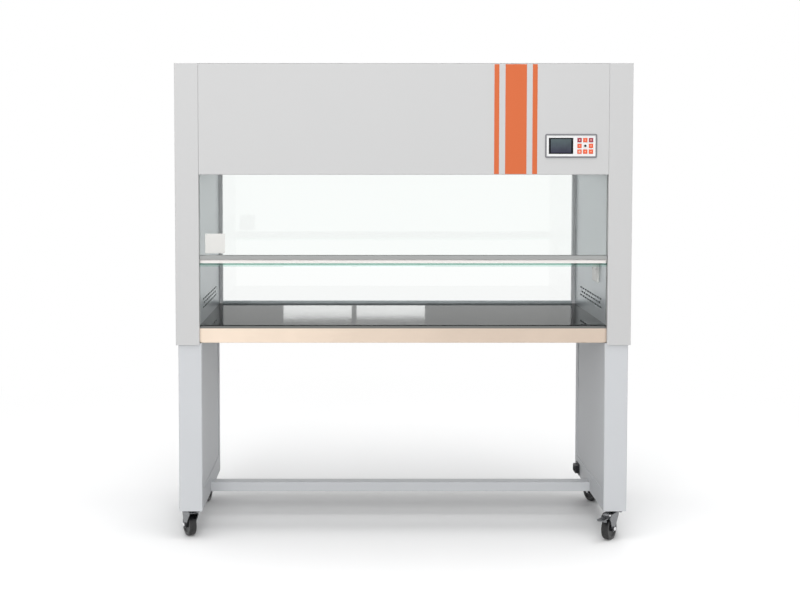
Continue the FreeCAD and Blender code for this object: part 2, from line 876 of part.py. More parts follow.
def prefilter():
    reach_x = (intake_slots[0] - 1) / 2 * intake_pitch[0] + intake_slot[0] / 2 + intake_margin
    reach_y = (intake_slots[1] - 1) / 2 * intake_pitch[1] + intake_slot[1] / 2 + intake_margin
    low = shell_top_z - prefilter_height
    frame = box(-reach_x, reach_x, -reach_y, reach_y, low, shell_top_z)
    clear_x, clear_y = reach_x - prefilter_wall, reach_y - prefilter_wall
    frame = frame.cut(box(-clear_x, clear_x, -clear_y, clear_y, low - 1, top_z))
    mat = pleats(-clear_x, clear_x, -clear_y, clear_y, low + 1,
                 shell_top_z - prefilter_mat_gap, prefilter_pleats, prefilter_band)
    return fuse(frame, mat)


def filter_frame():
    outer = box(-filter_x, filter_x, filter_front, filter_back, filter_z, filter_top)
    clear = box(-filter_x + filter_wall, filter_x - filter_wall, filter_front + filter_wall,
                filter_back - filter_wall, filter_z - 1, filter_top + 1)
    return outer.cut(clear)


def filter_media():
    return pleats(-filter_x + filter_wall, filter_x - filter_wall, filter_front + filter_wall,
                  filter_back - filter_wall, filter_z + media_gap, filter_top - media_gap,
                  pleat_count, pleat_band)


def diffuser():
    lip_x = inner_x - diffuser_lip
    outline = [
        (lip_x, filter_z), (inner_x, filter_z), (inner_x, diffuser_z),
        (-inner_x, diffuser_z), (-inner_x, filter_z), (-lip_x, filter_z),
    ]
    y0 = front_y + diffuser_front
    # Drawn backwards, so that the sheet lies inside the outline.
    pan = folded(outline[::-1], on_xz, y0, rear_inside - y0)
    middle = (y0 + rear_inside) / 2
    slots = [box(x - diffuser_slot[0] / 2, x + diffuser_slot[0] / 2,
                 middle + y - diffuser_slot[1] / 2, middle + y + diffuser_slot[1] / 2,
                 diffuser_z - 1, diffuser_z + sheet + 1)
             for x, y in grid(diffuser_slots, diffuser_pitch)]
    return cut(pan, slots)


def lamps():
    """Two battens under the diffuser, each with a tube between its holders."""
    pieces = []
    reach = lamp_length / 2
    for setback in lamp_setbacks:
        y = front_y + setback
        body = box(-reach, reach, y - lamp_width / 2, y + lamp_width / 2,
                   diffuser_z - lamp_body, diffuser_z)
        tube_z = diffuser_z - lamp_body - lamp_tube_radius - lamp_tube_gap
        ends = [box(x, x + lamp_holder, y - lamp_tube_radius, y + lamp_tube_radius,
                    tube_z - lamp_tube_radius, diffuser_z - lamp_body)
                for x in (-reach, reach - lamp_holder)]
        pieces.append(fuse(body, *ends))
        pieces.append(rod(lamp_tube_radius - 1, V(-reach + lamp_holder, y, tube_z),
                          V(reach - lamp_holder, y, tube_z)))
    return pieces


def scroll_outline(grow):
    """The volute's outline: three quarter arcs on shifting centres, then straight down
    into the outlet. grow is the sheet's thickness for the outer face, 0 for the inner."""
    z = deck_top + scroll_rise
    y = blower_y
    radii = [scroll_radius + step * scroll_step + grow for step in range(3)]
    centres = [(y, z), (y + scroll_step, z), (y + scroll_step, z - scroll_step)]
    # The first arc starts where the tongue's straight wall meets it.
    starts = (-90.0 - math.degrees(math.asin(grow / radii[0])), -180.0, -270.0)
    ends = (-180.0, -270.0, -360.0)
    edges = []
    corners = []
    for radius, (cy, cz), start, end in zip(radii, centres, starts, ends):
        spots = []
        for angle in (start, (start + end) / 2, end):
            turn = math.radians(angle)
            spots.append((cy + radius * math.cos(turn), cz + radius * math.sin(turn)))
        edges.append(("arc", *spots))
        corners += [spots[0], spots[2]]
    mouth = deck_top if grow else deck_top - 5
    tongue, throat = corners[0], corners[-1]
    edges.append(("line", throat, (throat[0], mouth)))
    edges.append(("line", (throat[0], mouth), (tongue[0], mouth)))
    edges.append(("line", (tongue[0], mouth), tongue))
    return Part.Wire(Part.__sortEdges__([drawn(edge, on_yz) for edge in edges]))


def blower_housing(x, side):
    """A sheet volute with its inlet away from the motor and its outlet downwards."""
    reach = scroll_width / 2
    outer = Part.Face(scroll_outline(scroll_sheet))
    outer.translate(V(x - reach, 0, 0))
    inner = Part.Face(scroll_outline(0.0))
    inner.translate(V(x - reach + scroll_sheet, 0, 0))
    shell = outer.extrude(V(scroll_width, 0, 0))
    hollow = inner.extrude(V(scroll_width - 2 * scroll_sheet, 0, 0))
    z = deck_top + scroll_rise
    far, near = V(x - side * (reach + 1), blower_y, z), V(x, blower_y, z)
    inlet = flat_rod(inlet_radius, facets, far, near)
    shaft_hole = flat_rod(shaft_radius + shaft_room, facets // 2, near,
                          V(x + side * (reach + 1), blower_y, z))
    return cut(shell, [hollow, inlet, shaft_hole])


def outlet_cut(x):
    reach = scroll_width / 2 - scroll_sheet
    far_y = blower_y + scroll_step + scroll_radius + 2 * scroll_step
    return box(x - reach, x + reach, blower_y, far_y, deck_z - 1, deck_top + 1)


def fan_deck():
    outer = box(-filter_x, filter_x, filter_front, filter_back, filter_top, deck_top)
    hollow = box(-filter_x + sheet, filter_x - sheet, filter_front + sheet,
                 filter_back - sheet, filter_top - 1, deck_z)
    return cut(outer, [hollow, outlet_cut(-blower_x), outlet_cut(blower_x)])


def blade():
    """One forward-curved blade: a strip of sheet folded towards the rotation."""
    outer_r, inner_r = impeller_radius, impeller_radius - blade_depth
    knee_r = inner_r + blade_knee_share * blade_depth
    lean = math.radians(blade_lean_angle)
    spots = [(inner_r, 0.0), (knee_r, 0.0), (outer_r * math.cos(lean),
                                            outer_r * math.sin(lean))]
    shift = [(u, v + blade_thickness) for u, v in spots]
    return prism(spots + shift[::-1], on_yz, -impeller_width / 2, impeller_width)


def ring(outer_r, inner_r, y0, y1):
    """A flat-sided ring about the X axis, one side for each blade."""
    piece = turned([(inner_r, y0), (outer_r, y0), (outer_r, y1), (inner_r, y1)], blade_count)
    piece.rotate(V(0, 0, 0), V(0, 0, 1), -90)
    return piece


def impeller(x, side):
    """Blades between an inlet ring and a back disc with hub and shaft; side is where the
    motor is."""
    reach = impeller_width / 2
    disc_start = reach - impeller_disc if side > 0 else -reach
    ring_start = -reach if side > 0 else reach - impeller_disc
    first = blade()
    pieces = []
    for index in range(blade_count):
        copy = first.copy()
        copy.rotate(V(0, 0, 0), V(1, 0, 0), 360.0 * index / blade_count)
        pieces.append(copy)
    inner_r = impeller_radius - blade_depth
    pieces.append(ring(impeller_radius + 1, inner_r - 1, ring_start,
                       ring_start + impeller_disc))
    pieces.append(ring(impeller_radius + 1, impeller_hub - 2, disc_start,
                       disc_start + impeller_disc))
    hub_start = reach - hub_length if side > 0 else -reach
    pieces.append(ring(impeller_hub, shaft_radius - 1, hub_start, hub_start + hub_length))
    motor_face = scroll_width / 2 + motor_gap
    pieces.append(rod(shaft_radius, V((reach - hub_length) * side, 0, 0),
                      V((motor_face + shaft_grip) * side, 0, 0)))
    wheel = fuse(*pieces)
    wheel.translate(V(x, blower_y, deck_top + scroll_rise))
    return wheel


def blower_motor(x, side):
    """A foot-mounted motor with the bore that its shaft turns in."""
    z = deck_top + scroll_rise
    near = x + side * (scroll_width / 2 + motor_gap)
    far = near + side * motor_length
    body = flat_rod(motor_radius, facets, V(near, blower_y, z), V(far, blower_y, z))
    middle = (near + far) / 2
    width, depth, drop = motor_pedestal
    pedestal = box(middle - width, middle + width, blower_y - depth, blower_y + depth,
                   deck_top, z - drop)
    width, depth, height = motor_foot
    foot = box(middle - width, middle + width, blower_y - depth, blower_y + depth,
               deck_top, deck_top + height)
    bore = rod(shaft_radius + running_clearance, V(near - side, blower_y, z),
               V(near + side * (shaft_grip + 2), blower_y, z))
    return fuse(body, pedestal, foot).cut(bore)


# Control panel


def panel_inside():
    """Inner edges of the bezel: x0, x1, z0, z1."""
    low = hood_z + panel_low
    return (panel_x + bezel_rim, panel_x + panel_width - bezel_rim, low + bezel_rim,
            low + panel_height - bezel_rim)


def fascia_planes():
    front = front_y - bezel_proud + fascia_recess
    return front, front + fascia_thickness


def control_bezel():
    x0, x1, z0, z1 = panel_inside()
    rim = rounded_box(panel_x, panel_x + panel_width, front_y - bezel_proud, front_y,
                      hood_z + panel_low, hood_z + panel_low + panel_height, bezel_corner)
    front_edges = [e for e in rim.Edges
                   if e.BoundBox.YMax < front_y - bezel_proud + 0.01]
    rim = rim.makeChamfer(bezel_edge, front_edges)
    collar = box(x0 - collar_wall, x1 + collar_wall, front_y, front_y + collar_depth,
                 z0 - collar_wall, z1 + collar_wall)
    hollow = box(x0, x1, front_y - bezel_proud - 1, front_y + collar_depth + 1, z0, z1)
    return fuse(rim, collar).cut(hollow)


def key_places():
    x0, x1, z0, z1 = panel_inside()
    centre_z = (z0 + z1) / 2
    last_x = x1 - keypad_margin
    places = {}
    for row in range(key_rows):
        for column in range(key_columns):
            x = last_x - (key_columns - 1 - column) * key_pitch
            z = centre_z - (row - (key_rows - 1) / 2) * key_pitch
            places[f"key_{row * key_columns + column + 1}"] = (x, z)
    return places


def screen_edges():
    x0, x1, z0, z1 = panel_inside()
    left = panel_x + screen_margin
    middle = (z0 + z1) / 2
    return left, left + screen_width, middle - screen_height / 2, middle + screen_height / 2


def control_fascia():
    x0, x1, z0, z1 = panel_inside()
    front, back = fascia_planes()
    plate = box(x0 + key_clearance, x1 - key_clearance, front, back, z0 + key_clearance,
                z1 - key_clearance)
    sx0, sx1, sz0, sz1 = screen_edges()
    tools = [box(sx0, sx1, front - 1, back + 1, sz0, sz1)]
    hole = key_size + 2 * key_clearance
    for x, z in key_places().values():
        tools.append(centred_box(x, (front + back) / 2, z, hole, fascia_thickness + 2, hole))
    bosses = [centred_box(x, back + board_gap / 2, z, post_size, board_gap, post_size)
              for x in (x0 + post_inset, x1 - post_inset)
              for z in (z0 + post_inset, z1 - post_inset)]
    return fuse(cut(plate, tools), *bosses)


def display():
    front, back = fascia_planes()
    sx0, sx1, sz0, sz1 = screen_edges()
    base = box(sx0 - screen_flange, sx1 + screen_flange, back, back + board_gap,
               sz0 - screen_flange, sz1 + screen_flange)
    pane = box(sx0 + key_clearance, sx1 - key_clearance, front - screen_proud, back,
               sz0 + key_clearance, sz1 - key_clearance)
    return fuse(base, pane)


def control_key(x, z):
    """A key cap, the flange that keeps it in the fascia, and its stem."""
    front, back = fascia_planes()
    cap_front = front - key_proud
    cap = centred_box(x, (cap_front + back) / 2, z, key_size, back - cap_front, key_size)
    face_edges = [e for e in cap.Edges if e.BoundBox.YMax < cap_front + 0.01]
    cap = cap.makeChamfer(key_edge, face_edges)
    rear = back + key_seat
    neck = centred_box(x, back, z, key_size, 2 * key_seat, key_size)
    flange = centred_box(x, rear + key_flange / 2, z, key_size + 2 * key_lip, key_flange,
                         key_size + 2 * key_lip)
    stem_end = back + board_gap - key_travel - board_clearance
    stem = centred_box(x, (rear + stem_end) / 2, z, key_stem, stem_end - rear, key_stem)
    return fuse(cap, neck, flange, stem)


def circuit_board():
    x0, x1, z0, z1 = panel_inside()
    front = fascia_planes()[1] + board_gap
    back = front + board_thickness
    board = box(x0 + board_edge, x1 - board_edge, front, back, z0 + board_edge,
                z1 - board_edge)
    chips = [box(x0 + left, x0 + right, back, back + height, z0 + low, z0 + high)
             for left, right, low, high, height in board_parts]
    return fuse(board, *chips)


def power_inlet():
    """An appliance inlet with its fuse drawer, at the rear foot of the right stand."""
    y1 = stand_y1 - inlet_from_back + inlet_length / 2
    y0 = y1 - inlet_length
    z0 = caster_height + inlet_rise - inlet_height / 2
    z1 = z0 + inlet_height
    flange = box(stand_x0 - inlet_flange, stand_x0, y0, y1, z0, z1)
    face_x = stand_x0 - inlet_flange - inlet_body
    rim_y, rim_z = inlet_rim
    body = box(face_x, stand_x0 - inlet_flange, y0 + rim_y, y1 - rim_y, z0 + rim_z,
               z1 - rim_z)
    floor_x = stand_x0 - inlet_floor
    well = box(face_x - 1, floor_x, y0 + inlet_well[0], y0 + inlet_well[1],
               z0 + inlet_well_edge, z1 - inlet_well_edge)
    length, width, thickness = inlet_pin
    pins = [box(floor_x - length, floor_x, y0 + dy, y0 + dy + width, z0 + dz,
                z0 + dz + thickness) for dy, dz in inlet_pins]
    start, end, proud = inlet_drawer
    drawer = box(face_x - proud, face_x, y0 + start, y0 + end, z0 + inlet_well_edge,
                 z1 - inlet_well_edge)
    return fuse(fuse(flange, body, drawer).cut(well), *pins)


# Casters, modelled trailing along +X about a swivel axis on Z


def placed(shape, x, y, angle):
    copy = shape.copy()
    copy.rotate(V(0, 0, 0), V(0, 0, 1), angle)
    copy.translate(V(x, y, 0))
    return copy


def crown_z():
    return caster_height - top_plate_thickness - race_height


def caster_plate():
    under = caster_height - top_plate_thickness
    plate = centred_box(0, 0, caster_height - top_plate_thickness / 2, top_plate, top_plate,
                        top_plate_thickness)
    plate = plate.makeChamfer(top_plate_corner, tall_edges(plate))
    low = crown_z() - crown_play - fork_wall - crown_play
    outline = [
        (kingpin_radius / 2, under), (race_radius, under), (race_radius - 3, crown_z()),
        (kingpin_radius, crown_z()), (kingpin_radius, low), (kingpin_head, low),
        (kingpin_head, low - kingpin_cap), (kingpin_radius / 2, low - kingpin_cap),
    ]
    race = turned(outline, facets // 2)
    race.rotate(V(0, 0, 0), V(1, 0, 0), 90)
    core = flat_rod(kingpin_radius * 0.9, 4, V(0, 0, low - kingpin_cap), V(0, 0, under))
    return fuse(plate, race, core)


def caster_fork():
    top = crown_z() - crown_play
    inside = wheel_width / 2 + fork_gap
    outside = inside + fork_wall
    bevel = crown_radius * crown_bevel_share
    crown_end = pedal_pivot_reach - crown_before_pivot
    outline = [(-crown_radius, -bevel), (-bevel, -outside), (crown_end, -outside),
               (crown_end, outside), (-bevel, outside), (-crown_radius, bevel)]
    crown = prism(outline, on_xy, top - fork_wall, fork_wall)
    bore = rod(kingpin_radius + running_clearance, V(0, 0, top - fork_wall - 1),
               V(0, 0, top + 1))
    boss = cheek_boss
    low_z = wheel_radius - boss * math.sin(math.radians(60))
    behind, below, above = cheek_nose
    outline = [
        (-bevel, top), (-bevel, top - cheek_drop), (trail - boss, wheel_radius),
        (trail - boss / 2, low_z), (trail + boss / 2, low_z), (trail + boss, wheel_radius),
        (pedal_pivot_reach + behind, pedal_pivot_z - below),
        (pedal_pivot_reach + behind, pedal_pivot_z + above), (crown_end, top),
    ]
    cheek = prism(outline, on_xz, inside, fork_wall)
    other = prism(outline, on_xz, -outside, fork_wall)
    axle = rod(wheel_axle_radius, V(trail, -inside, wheel_radius),
               V(trail, inside, wheel_radius))
    nut = flat_rod(nut_radius, 6, V(trail, outside, wheel_radius),
                   V(trail, outside + nut_height, wheel_radius))
    head = flat_rod(nut_radius, 6, V(trail, -outside - nut_height, wheel_radius),
                    V(trail, -outside, wheel_radius))
    pin = rod(pedal_pin_radius, V(pedal_pivot_reach, -inside, pedal_pivot_z),
              V(pedal_pivot_reach, inside, pedal_pivot_z))
    return fuse(crown.cut(bore), cheek, other, axle, nut, head, pin)


def hexagon(radius, height):
    outline = [(radius * math.cos(math.radians(60 * i)), radius * math.sin(math.radians(60 * i)))
               for i in range(6)]
    return prism(outline, on_xy, 0.0, height)


def caster_wheel():
    """Tyre and centre in one outline: rounded tread, dished sides and a raised hub."""
    flat = wheel_width / 2
    bore = wheel_axle_radius + running_clearance
    hub_flat = flat + fork_gap - hub_clearance
    side = [
        (wheel_radius, tread_flat / 2), (wheel_radius - tread_drop, flat),
        (wheel_radius - tyre_wall, flat), (hub_radius, flat - dish), (hub_radius, hub_flat),
        (bore - 1, hub_flat),
    ]
    outline = [(radius, -y) for radius, y in side[::-1]] + side
    wheel = turned(outline, facets)
    wheel = wheel.cut(rod(bore, V(0, -hub_flat - 1, 0), V(0, hub_flat + 1, 0)))
    wheel.translate(V(trail, 0, wheel_radius))
    return wheel


def tyre_height(reach):
    """Top of the tread at a distance from the swivel axis."""
    return wheel_radius + math.sqrt(wheel_radius ** 2 - (reach - trail) ** 2)


def raised(u, v):
    """Where a point of the pressed pedal lies when the pedal is up."""
    turn = math.radians(pedal_swing_angle)
    du, dv = u - pedal_pivot_reach, v - pedal_pivot_z
    return (pedal_pivot_reach + du * math.cos(turn) - dv * math.sin(turn),
            pedal_pivot_z + du * math.sin(turn) + dv * math.cos(turn))


def brake_pedal():
    """A stamped treadle on its own cross pin, with the shoe that presses on the tyre."""
    inside = wheel_width / 2 + fork_gap
    pivot = V(pedal_pivot_reach, 0, pedal_pivot_z)
    reach = inside - pedal_end_play
    barrel = flat_rod(pedal_pin_radius + pedal_barrel, 8, V(pivot.x, -reach, pivot.z),
                      V(pivot.x, reach, pivot.z))
    tread_start = pivot.x + cheek_nose[0] - 1
    corner = pedal_half_width * pedal_corner_share
    outline = [
        (tread_start, -pedal_half_width + corner), (tread_start + corner, -pedal_half_width),
        (pedal_reach - 2 * corner, -pedal_half_width), (pedal_reach, -corner),
        (pedal_reach, corner), (pedal_reach - 2 * corner, pedal_half_width),
        (tread_start + corner, pedal_half_width), (tread_start, pedal_half_width - corner),
    ]
    tread = prism(outline, on_xy, pivot.z, pedal_thickness)
    web_half = pedal_half_width - pedal_end_play
    web = box(pivot.x, tread_start + corner, -web_half, web_half, pivot.z - 1,
              pivot.z + pedal_thickness)
    ribs = [box(pivot.x, pedal_reach - 4 * corner, y, y + rib_thickness, pivot.z - rib_depth,
                pivot.z) for y in rib_places]
    ends = [raised(reach, tyre_height(reach) + shoe_clearance) for reach in shoe_reach]
    outline = [(ends[0][0], pivot.z), ends[0], ends[1], (ends[1][0], pivot.z)]
    shoe = prism(outline, on_xz, -shoe_width / 2, shoe_width)
    pedal = fuse(barrel, tread, web, shoe, *ribs)
    hole = rod(pedal_pin_radius + running_clearance, V(pivot.x, -inside, pivot.z),
               V(pivot.x, inside, pivot.z))
    return pedal.cut(hole)


def build_casters():
    front, rear = caster_lines()
    places = {
        "front_left": (-leg_x, front),
        "front_right": (leg_x, front),
        "rear_left": (-leg_x, rear),
        "rear_right": (leg_x, rear),
    }
    fork, wheel, pedal, plate = caster_fork(), caster_wheel(), brake_pedal(), caster_plate()
    plates = []
    for name, (x, y) in places.items():
        angle = trail_angles[name]
        parts[f"caster_fork_{name}"] = [placed(fork, x, y, angle)]
        parts[f"caster_wheel_{name}"] = [placed(wheel, x, y, angle)]
        parts[f"brake_pedal_{name}"] = [placed(pedal, x, y, angle)]
        plates.append(placed(plate, x, y, 0))
    parts["caster_plates"] = plates


def build_cabinet():
    column = column_shell()
    parts["column_shell_right"] = [column]
    parts["column_shell_left"] = [mirrored(column)]
    parts["inner_walls"] = [liner_wall(True), mirrored(liner_wall(False))]
    stand = stand_frame()
    parts["stand_right"] = [stand]
    parts["stand_left"] = [mirrored(stand)]
    parts["stretcher"] = [stretcher()]
    parts["work_table"] = work_table()
    parts["rear_window_frame"] = [window_frame()]
    parts["rear_window"] = [window_slab(0.0)]
    parts["wall_socket"] = [wall_socket()]
    parts["power_inlet"] = [power_inlet()]


def build_sash():
    parts["sash_glass"] = [sash_glass()]
    parts["sash_handle"] = [sash_handle()]
    parts["sash_edge_rails"] = both(sash_edge_rail())
    parts["sash_guides"] = both(sash_guide())
    wheel = cable_pulley()
    parts["pulley_right"] = [wheel]
    parts["pulley_left"] = [mirrored(wheel)]
    parts["cables"] = both(cable())
    weight = counterweight()
    parts["counterweight_right"] = [weight]
    parts["counterweight_left"] = [mirrored(weight)]


def build_hood():
    parts["hood_front_panel"] = [hood_front()]
    parts["accent_stripes"] = accent_stripes()
    parts["hood_cover"] = [hood_cover()]
    parts["prefilter"] = [prefilter()]
    parts["filter_frame"] = [filter_frame()]
    parts["filter_media"] = [filter_media()]
    parts["diffuser_plate"] = [diffuser()]
    parts["lamps"] = lamps()
    parts["fan_deck"] = [fan_deck()]
    parts["blower_housings"] = [blower_housing(blower_x, 1), blower_housing(-blower_x, -1)]
    parts["blower_motors"] = [blower_motor(blower_x, 1), blower_motor(-blower_x, -1)]
    parts["impeller_right"] = [impeller(blower_x, 1)]
    parts["impeller_left"] = [impeller(-blower_x, -1)]


def build_panel():
    parts["control_bezel"] = [control_bezel()]
    parts["control_fascia"] = [control_fascia()]
    parts["display"] = [display()]
    parts["circuit_board"] = [circuit_board()]
    for name, (x, z) in key_places().items():
        parts[name] = [control_key(x, z)]


def write_parts():
    os.makedirs("parts", exist_ok=True)
    for name, solids in parts.items():
        found = [solid for shape in solids for solid in shape.Solids]
        if len(found) != len(solids) or not all(solid.isValid() for solid in found):
            print("check", name, len(found), "solids of", len(solids))
        shape = found[0] if len(found) == 1 else Part.makeCompound(found)
        shape.exportStep(f"parts/{name}.step")
    print(len(parts), "nodes")


build_cabinet()
build_sash()
build_hood()
build_panel()
build_casters()
write_parts()
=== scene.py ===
# %% [markdown]
# A clean bench is mostly folded sheet steel: two painted columns, a painted hood and two painted
# stands, with a polished tray, a sliding pane and a rear pane between them. The frame already holds
# every solid at its real size. This file gives each one its finish and adds the small pieces that
# only the eye needs. The first cell loads the frame and names the unit that all the sizes below are
# written in.

# %% Load the frame
import json
import math
import bpy
from mathutils import Matrix, Vector


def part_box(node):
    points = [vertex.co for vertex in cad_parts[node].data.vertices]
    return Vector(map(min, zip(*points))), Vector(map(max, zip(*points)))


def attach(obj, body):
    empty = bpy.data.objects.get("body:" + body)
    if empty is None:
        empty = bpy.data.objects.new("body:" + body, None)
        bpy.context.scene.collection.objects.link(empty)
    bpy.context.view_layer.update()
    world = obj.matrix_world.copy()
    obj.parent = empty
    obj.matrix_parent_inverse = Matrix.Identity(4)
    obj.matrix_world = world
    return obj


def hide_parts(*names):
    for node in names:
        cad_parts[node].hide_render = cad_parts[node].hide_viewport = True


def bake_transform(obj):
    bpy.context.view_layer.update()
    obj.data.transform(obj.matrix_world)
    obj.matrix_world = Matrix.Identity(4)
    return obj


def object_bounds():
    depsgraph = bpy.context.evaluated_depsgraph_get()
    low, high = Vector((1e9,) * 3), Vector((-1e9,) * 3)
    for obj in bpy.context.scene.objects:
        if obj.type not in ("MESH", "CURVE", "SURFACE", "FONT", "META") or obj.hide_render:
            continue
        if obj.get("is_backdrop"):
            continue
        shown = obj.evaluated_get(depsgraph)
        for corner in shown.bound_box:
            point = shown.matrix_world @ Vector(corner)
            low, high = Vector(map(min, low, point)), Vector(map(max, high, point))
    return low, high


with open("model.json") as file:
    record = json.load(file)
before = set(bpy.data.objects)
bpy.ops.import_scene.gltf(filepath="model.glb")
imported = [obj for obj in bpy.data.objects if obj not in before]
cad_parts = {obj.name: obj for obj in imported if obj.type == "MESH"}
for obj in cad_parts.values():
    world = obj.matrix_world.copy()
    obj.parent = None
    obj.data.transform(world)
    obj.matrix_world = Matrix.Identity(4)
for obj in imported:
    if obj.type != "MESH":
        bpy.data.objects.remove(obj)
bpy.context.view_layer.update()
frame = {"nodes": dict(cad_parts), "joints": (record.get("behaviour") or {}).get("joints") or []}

mm = 0.001
nodes = frame["nodes"]
joints = {joint["name"]: joint for joint in frame["joints"]}
corners = ("front_left", "front_right", "rear_left", "rear_right")

# %% [markdown]
# The picture was taken from just left of the middle, level with the lower part of the hood,
# with a short telephoto lens. A level camera with a large vertical shift would keep every
# upright parallel, but the shift also moves the other views, so most of the drop is made by
# tilting the camera and only a part of it by the shift. The shift is worked out from the
# point of the cabinet's front that lies in the middle of the picture.

# %% Camera
front_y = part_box("hood_front_panel")[0].y
view_distance = 4380 * mm
view_height = 1292 * mm
view_left = 153 * mm
view_tilt = math.radians(3.0)
picture_middle = Vector((-11.1 * mm, front_y, 803.9 * mm))
sensor_width, lens = 36.0, 60.15

camera_data = bpy.data.cameras.new("picture_camera")
camera_data.lens = lens
camera_data.sensor_width = sensor_width
camera = bpy.data.objects.new("picture_camera", camera_data)
camera.location = (-view_left, front_y - view_distance, view_height)
camera.rotation_euler = (math.pi / 2 - view_tilt, 0.0, 0.0)
bpy.context.scene.collection.objects.link(camera)
bpy.context.view_layer.update()
seen = camera.matrix_world.inverted() @ picture_middle
camera_data.shift_x = seen.x / -seen.z * lens / sensor_width
camera_data.shift_y = seen.y / -seen.z * lens / sensor_width
bpy.context.scene.camera = camera
print("camera shift", round(camera_data.shift_x, 4), round(camera_data.shift_y, 4))

# %% [markdown]
# The world and every material are trees of nodes. Two helpers keep them short to write: one
# adds a node with its settings, the other draws the links between nodes.

# %% Node helpers
def node(tree, kind, values=None, **settings):
    """A node with its settings and the values of its input sockets."""
    made = tree.nodes.new(kind)
    for name, value in settings.items():
        setattr(made, name, value)
    for name, value in (values or {}).items():
        made.inputs[name].default_value = value
    return made


def wire(tree, *pairs):
    for start, end in pairs:
        tree.links.new(start, end)


# %% [markdown]
# Plain soft light shows sheet metal best. A grey world fills every side evenly, one wide
# lamp in front lifts the faces that the picture shows, a weaker one lifts the back, and a
# large one high above lights the floor and the tops. Two dim cards stand side by side
# behind the cabinet, and the polished worktop mirrors them through the rear pane, as it
# would mirror a window. They stand too high to be seen directly in this view. The camera,
# gloss and glass see a white world, so the background is white without any extra light
# falling on the cabinet. The lamps are hidden from glossy rays, because their reflections
# would burn out on the bare metal, and only the cards show through glass.

# %% World and lamps
world_level = 0.36
fill_tone, white = (0.985, 0.992, 1.0, 1.0), (1.0, 1.0, 1.0, 1.0)
card_bottom, card_top, card_y, card_power = 1.30, 1.487, 6.0, 0.7
card_middle = (card_bottom + card_top) / 2
card_size = (0.55, card_top - card_bottom)
lamp_plan = {
    "front_softbox": ((-0.5, -6.0, 2.6), (0.0, 0.0, 0.9), (3.6, 3.6), 202.0),
    "back_softbox": ((1.0, 4.6, 5.2), (0.0, 0.0, 0.9), (3.2, 3.2), 80.0),
    "top_softbox": ((0.0, -1.2, 7.5), (0.0, -0.3, 0.0), (6.5, 6.5), 420.0),
}
for side, card_x in (("left", -0.47), ("right", 0.12)):
    lamp_plan[f"{side}_card"] = ((card_x, card_y, card_middle), (card_x, 0.0, card_middle),
                                 card_size, card_power)

world = bpy.data.worlds.new("studio")
world.use_nodes = True
bpy.context.scene.world = world
sky = world.node_tree
sky.nodes.clear()
fill_light = node(sky, "ShaderNodeBackground", {"Color": fill_tone, "Strength": world_level})
white_back = node(sky, "ShaderNodeBackground", {"Color": white, "Strength": 1.0})
ray = node(sky, "ShaderNodeLightPath")
seen_or_gloss = node(sky, "ShaderNodeMath", operation="MAXIMUM")
seen_or_glass = node(sky, "ShaderNodeMath", operation="MAXIMUM")
mixed = node(sky, "ShaderNodeMixShader")
world_out = node(sky, "ShaderNodeOutputWorld")
wire(
    sky,
    (ray.outputs["Is Camera Ray"], seen_or_gloss.inputs[0]),
    (ray.outputs["Is Glossy Ray"], seen_or_gloss.inputs[1]),
    (seen_or_gloss.outputs[0], seen_or_glass.inputs[0]),
    (ray.outputs["Is Transmission Ray"], seen_or_glass.inputs[1]),
    (seen_or_glass.outputs[0], mixed.inputs["Fac"]),
    (fill_light.outputs[0], mixed.inputs[1]),
    (white_back.outputs[0], mixed.inputs[2]),
    (mixed.outputs[0], world_out.inputs["Surface"]),
)

for name, (place, aim, size, power) in lamp_plan.items():
    lamp_data = bpy.data.lights.new(name, "AREA")
    lamp_data.shape = "RECTANGLE"
    lamp_data.size, lamp_data.size_y = size
    lamp_data.energy = power
    lamp = bpy.data.objects.new(name, lamp_data)
    lamp.visible_camera = lamp.visible_glossy = False
    lamp.visible_transmission = name.endswith("card")
    lamp.location = place
    lamp.rotation_euler = (Vector(aim) - Vector(place)).to_track_quat("-Z", "Y").to_euler()
    bpy.context.scene.collection.objects.link(lamp)
bpy.context.scene.view_settings.view_transform = "Standard"
print("lamps", len(lamp_plan))

# %% [markdown]
# Modelling by operator means selecting first. These helpers clear the selection, start a
# piece from a primitive and pick faces or edges by their place, so that every step below
# reads as it would be done by hand. The frame's own solids are selected after loading, and
# an operator would act on them too, which is why everything is deselected each time.

# %% Modelling helpers
def leave_edit():
    if bpy.context.object and bpy.context.object.mode != "OBJECT":
        bpy.ops.object.mode_set(mode="OBJECT")


def begin(name, add, **sizes):
    """Adds a primitive with nothing else selected, and names it."""
    leave_edit()
    bpy.ops.object.select_all(action="DESELECT")
    add(**sizes)
    piece = bpy.context.object
    piece.name = name
    return piece


def activate(piece):
    leave_edit()
    bpy.ops.object.select_all(action="DESELECT")
    piece.select_set(True)
    bpy.context.view_layer.objects.active = piece


def pick(piece, kind, test):
    """Enters edit mode with the elements selected whose middle and normal pass a test."""
    activate(piece)
    bpy.ops.object.mode_set(mode="EDIT")
    bpy.ops.mesh.select_mode(type=kind)
    bpy.ops.mesh.select_all(action="DESELECT")
    bpy.ops.object.mode_set(mode="OBJECT")
    mesh = piece.data
    if kind == "FACE":
        for face in mesh.polygons:
            face.select = test(face.center, face.normal)
    else:
        for edge in mesh.edges:
            a, b = (mesh.vertices[i].co for i in edge.vertices)
            edge.select = test((a + b) / 2, (b - a).normalized())
    bpy.ops.object.mode_set(mode="EDIT")


def bevel_all(piece, width, segments=2, angle=30.0):
    """Rounds every sharp edge, so that it catches the light as a real one does."""
    activate(piece)
    modifier = piece.modifiers.new("edges", "BEVEL")
    modifier.width = width
    modifier.segments = segments
    modifier.limit_method = "ANGLE"
    modifier.angle_limit = math.radians(angle)
    bpy.ops.object.modifier_apply(modifier=modifier.name)
    bpy.ops.object.shade_smooth_by_angle(angle=math.radians(35))


